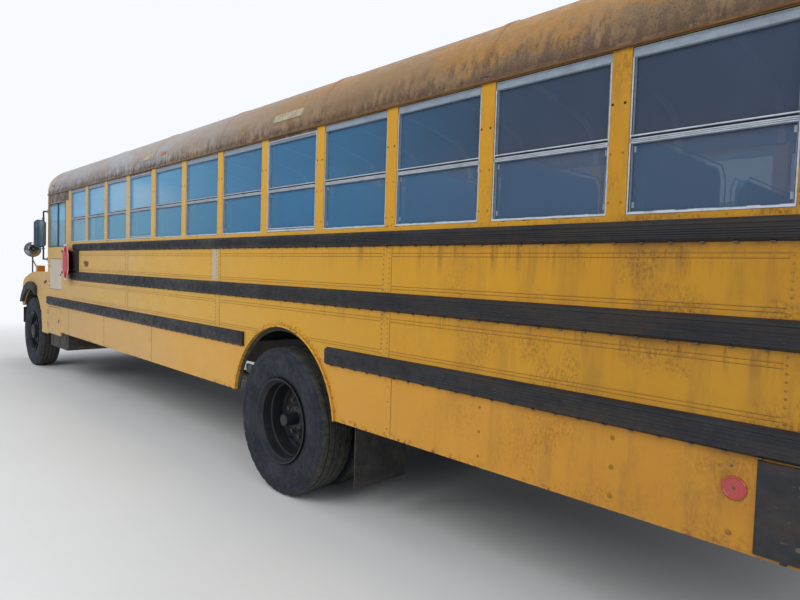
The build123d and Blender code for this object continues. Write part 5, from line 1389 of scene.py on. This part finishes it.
def make_underside():
    """U-bolts and plates on the springs, splash flaps, battery box ribs and tank straps."""
    steel = Shape()
    for axle, y, top, low in ((FRONT_AXLE, 0.392, 0.545, 0.385), (REAR_AXLE, 0.490, 0.640, 0.455)):
        for shift in (-0.070, 0.070):
            half = 0.047
            steel.tube([(axle + shift, y - half, low - 0.02), (axle + shift, y - half, top),
                        (axle + shift, y, top + 0.012),
                        (axle + shift, y + half, top), (axle + shift, y + half, low - 0.02)], 0.009, 8)
            for edge in (-half, half):
                steel.bolt((axle + shift, y + edge, low), (0, 0, -1), 0.014, 0.014)
        steel.box((axle - 0.085, axle + 0.085), (y - 0.058, y + 0.058), (low - 0.001, low + 0.012))
    steel.mirrored()
    steel.make("spring_bolts", "chassis_black")
    flaps = Shape()
    low, high, inner, outer = 0.205, 1.048, 0.602, 1.066
    rows, columns = 14, 8
    for layer in (-0.005, 0.005):
        points = []
        for r in range(rows + 1):
            for c in range(columns + 1):
                y = inner + (outer - inner) * c / columns
                z = high + (low - high) * r / rows
                sway = 0.010 * sin(3.0 * y + 0.6) * (r / rows) ** 2
                points.append((REAR_AXLE - 0.714 + layer * 0.9 + sway * 0.3, y, z))
        faces = [(r * (columns + 1) + c, r * (columns + 1) + c + 1, (r + 1) * (columns + 1) + c + 1,
                  (r + 1) * (columns + 1) + c) for r in range(rows) for c in range(columns)]
        flaps.add(points, faces)
    count = (rows + 1) * (columns + 1)
    rim = [c for c in range(columns + 1)] + [(r + 1) * (columns + 1) - 1 for r in range(1, rows + 1)]
    rim += [rows * (columns + 1) + c for c in range(columns - 1, -1, -1)]
    rim += [r * (columns + 1) for r in range(rows - 1, 0, -1)]
    flaps.faces += [(a, b, b + count, a + count) for a, b in zip(rim, rim[1:] + rim[:1])]
    flaps.kinds += [0] * len(rim)
    for k in range(4):
        for z in (1.030, 0.985):
            flaps.bolt((REAR_AXLE - 0.718, 0.64 + 0.125 * k, z), (-1, 0, 0), 0.009, 0.005)
            flaps.bolt((REAR_AXLE - 0.710, 0.64 + 0.125 * k, z), (1, 0, 0), 0.009, 0.005)
    flaps.mirrored()
    flaps.make("splash_flaps", "flap_rubber", replaces=["mud_flaps"])
    box = Shape()
    for x in (3.05, 3.36, 3.68):
        box.box((x - 0.016, x + 0.016), (1.1590, 1.1645), (0.452, 0.928))
        box.bolt((x, 1.1645, 0.60), (0, 1, 0), 0.009, 0.006)
    box.frame("y", (3.050, 3.700), (0.520, 0.850), 1.1590, 0.003, 0.012)
    box.make("battery_box_ribs", "chassis_black", bevel=0.001)
    tank = Shape()
    for x in (-4.22, -3.51):
        tank.box((x - 0.022, x + 0.022), (-0.27, 0.27), (0.4955, 0.5005))
        for side in (1, -1):
            tank.box((x - 0.022, x + 0.022), sorted((side * 0.3295, side * 0.3345)), (0.560, 0.840))
    tank.make("tank_straps", "chassis_black", bevel=0.0015)


# Inside the cabin

def swelled(name, shape, voxel, pressure, cap, look):
    mesh = bpy.data.meshes.new(name)
    mesh.from_pydata(shape.points, [], shape.faces)
    obj = put_in_scene(name, mesh)
    scene = bpy.context.scene
    remesh = obj.modifiers.new("remesh", "REMESH")
    remesh.mode = "VOXEL"
    remesh.voxel_size = voxel
    bake(obj)
    start = np.empty(len(obj.data.vertices) * 3)
    obj.data.vertices.foreach_get("co", start)
    start = start.reshape(-1, 3)
    cloth = obj.modifiers.new("cloth", "CLOTH")
    cloth.settings.use_pressure = True
    cloth.settings.uniform_pressure_force = pressure
    cloth.settings.effector_weights.gravity = 0
    cloth.settings.quality = 4
    for number in range(1, 21):
        scene.frame_set(number)
    bake(obj)
    scene.frame_set(1)
    end = np.empty(len(obj.data.vertices) * 3)
    obj.data.vertices.foreach_get("co", end)
    move = end.reshape(-1, 3) - start
    length = np.linalg.norm(move, axis=1, keepdims=True)
    move *= np.minimum(1.0, cap / np.maximum(length, 1e-9))
    obj.data.vertices.foreach_set("co", (start + move).ravel())
    ease = obj.modifiers.new("ease", "SMOOTH")
    ease.factor = 0.5
    ease.iterations = 4
    bake(obj)
    obj.data.polygons.foreach_set("use_smooth", [True] * len(obj.data.polygons))
    obj.data.materials.clear()
    obj.data.materials.append(looks[look])
    mesh = obj.data
    bpy.data.objects.remove(obj)
    return mesh


def bake(obj):
    """Applies every modifier to the mesh."""
    shown = obj.evaluated_get(bpy.context.evaluated_depsgraph_get())
    mesh = bpy.data.meshes.new_from_object(shown)
    obj.modifiers.clear()
    obj.data = mesh


def make_benches():
    """Twenty-four padded backs and cushions in blue vinyl, with sewn edges, in place of the plain solids."""
    cushion = Shape()
    depth, width = 0.345, 0.960
    outline = [(0.014, 0.018), (0.250, 0.014), (0.300, 0.020), (depth, 0.050), (depth, 0.075),
               (0.320, 0.100),
               (0.280, 0.106), (0.014, 0.104)]
    cushion.prism(outline, "y", -width / 2, width / 2)
    cushion_mesh = swelled("bench_cushion", cushion, 0.022, 3.0, 0.014, "seat_vinyl")
    back = Shape()
    half = 0.480
    outline = [(-half, 0.014), (half, 0.014), (half, 0.735), (half - 0.062, 0.796), (0.062 - half, 0.796),
               (-half, 0.735)]
    back.prism(outline, "x", -0.068, -0.017)
    back_mesh = swelled("bench_back", back, 0.022, 3.0, 0.014, "seat_vinyl")
    centre_y = SIDE - 0.045 - 0.012 - 0.495
    for index in range(12):
        x = post(index + 1)
        for side, label in ((1, "left"), (-1, "right")):
            for kind, mesh, z in (("cushion", cushion_mesh, 1.410), ("back", back_mesh, 1.420)):
                name = "bench_%s_%s_%02d" % (kind, label, index + 1)
                obj = bpy.data.objects.new(name, mesh.copy())
                obj.data.transform(Matrix.Translation((x, side * centre_y, z)))
                bpy.context.scene.collection.objects.link(obj)
                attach(obj, "bus_body")
                if index == 0:
                    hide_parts("seat_cushions" if kind == "cushion" else "seat_backs")
    piping = Shape()
    for index in range(12):
        x = post(index + 1)
        for side in (1, -1):
            y = side * centre_y
            for face in (-0.080, -0.005):
                path = [(x + face, y - 0.478, 1.50), (x + face, y - 0.478, 2.15),
                        (x + face, y - 0.418, 2.212),
                        (x + face, y + 0.418, 2.212), (x + face, y + 0.478, 2.15),
                        (x + face, y + 0.478, 1.50)]
                piping.tube(path, 0.0035, 6)
    piping.make("bench_piping", "seat_vinyl")


def make_driver_seat():
    """Driver's padded cushion and back over the plain pedestal."""
    x = FRONT - 1.040
    pads = (("driver_cushion", [(-0.235, 0.335), (0.215, 0.335), (0.215, 0.415), (-0.235, 0.415)], 0.225),
            ("driver_back", [(-0.318, 0.385), (-0.242, 0.385), (-0.242, 0.980), (-0.300, 0.985)], 0.225))
    for name, outline, half in pads:
        shape = Shape()
        shape.prism([(x + a, 1.090 + b) for a, b in outline], "y", 0.560 - half, 0.560 + half)
        mesh = swelled(name, shape, 0.016, 3.0, 0.010, "driver_vinyl")
        obj = put_in_scene(name, mesh)
        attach(obj, "bus_body")
        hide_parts("driver_seat")
    base = Shape()
    base.prism([(x - 0.16, 1.0905), (x + 0.16, 1.0905), (x + 0.13, 1.120), (x + 0.10, 1.40),
                (x - 0.10, 1.40),
                (x - 0.13, 1.120)], "y", 0.42, 0.70)
    base.box((x - 0.235, x + 0.215), (0.345, 0.775), (1.405, 1.424))
    base.prism([(x - 0.325, 1.47), (x - 0.319, 1.47), (x - 0.305, 2.06), (x - 0.311, 2.06)], "y", 0.345,
               0.775)
    base.make("driver_pedestal", "seat_steel", bevel=0.006)


def make_cabin():
    """Floor ribs, ceiling bows, gauges and the steering wheel's grip."""
    ribs = Shape()
    for k in range(9):
        y = -0.16 + 0.04 * k
        ribs.box((REAR + 0.12, 3.30), (y - 0.006, y + 0.006), (1.0895, 1.0925))
    ribs.make("aisle_ribs", "floor_grey", bevel=0.001)
    bows = Shape()
    angles = [2 + 72 * k / 8 for k in range(9)] + [74 + 16 * k / 3 for k in range(1, 4)]
    for index in range(1, 12):
        x = post(index)
        points = []
        for shift, lift in ((-0.03, -0.0455), (-0.024, -0.058), (0.024, -0.058), (0.03, -0.0455)):
            half = [roof_point(angle, lift) for angle in angles]
            line = half + [(-y, z) for y, z in reversed(half[:-1])]
            points.append([(x + shift, y, z) for y, z in line])
        count = len(points[0])
        flat = [points[j][k] for k in range(count) for j in range(4)]
        faces = [(4 * k + j, 4 * k + (j + 1) % 4, 4 * k + 4 + (j + 1) % 4, 4 * k + 4 + j)
                 for k in range(count - 1) for j in range(4)]
        bows.add(flat, faces)
    bows.make("ceiling_bows", "pale_panel")
    gauges = Shape()
    x = FRONT - 0.0453 - 0.400
    for y, radius in ((0.50, 0.048), (0.62, 0.048), (0.38, 0.030), (0.74, 0.030), (0.30, 0.030),
                      (0.82, 0.030)):
        gauges.lathe([(0.0, radius), (-0.005, radius), (-0.006, radius * 0.9), (-0.002, radius * 0.86),
                      (-0.002, 0.0005)], (x, y, 1.590), "x", 24)
    gauges.make("gauges", "black_plastic")
    grips = Shape()
    centre = Vector((FRONT - 0.0453 - 0.330 - 0.175, 0.560, 1.672))
    turn = radians(-40)
    points = []
    for k in range(49):
        angle = 2 * pi * k / 48
        u, v = 0.216 * cos(angle), 0.216 * sin(angle)
        points.append((centre.x + u * cos(turn), centre.y + v, centre.z - u * sin(turn)))
    grips.tube(points, 0.0155, 10)
    grips.make("steering_grip", "black_plastic")


make_camera()
make_world()
area_light("key", (-2.0, 9.0, 7.5), (-1.0, 0.5, 1.4), (9, 6), 720, glossy=False)
area_light("fill", (-10.5, 3.0, 5.0), (-3.5, 0.5, 1.3), (5, 5), 190)
area_light("top", (0, -2.0, 9.0), (0, 0, 1.5), (12, 6), 520)
area_light("far_fill", (9.5, 4.0, 5.5), (4.0, 0.5, 1.3), (5, 5), 220, glossy=False)
area_light("cabin", (-0.6, 0.0, 2.93), (-0.6, 0.0, 1.0), (8.6, 0.9), 90, glossy=False)
make_stage()
dress_solids()
make_wheels()
make_rails()
make_belt_details()
make_windows()
make_roof_details()
make_side_fittings()
make_arch_lip()
make_stop_arm()
make_mirrors()
make_front()
make_rear()
make_entrance()
make_underside()
make_benches()
make_driver_seat()
make_cabin()

scene = bpy.context.scene
scene.view_settings.view_transform = "Standard"
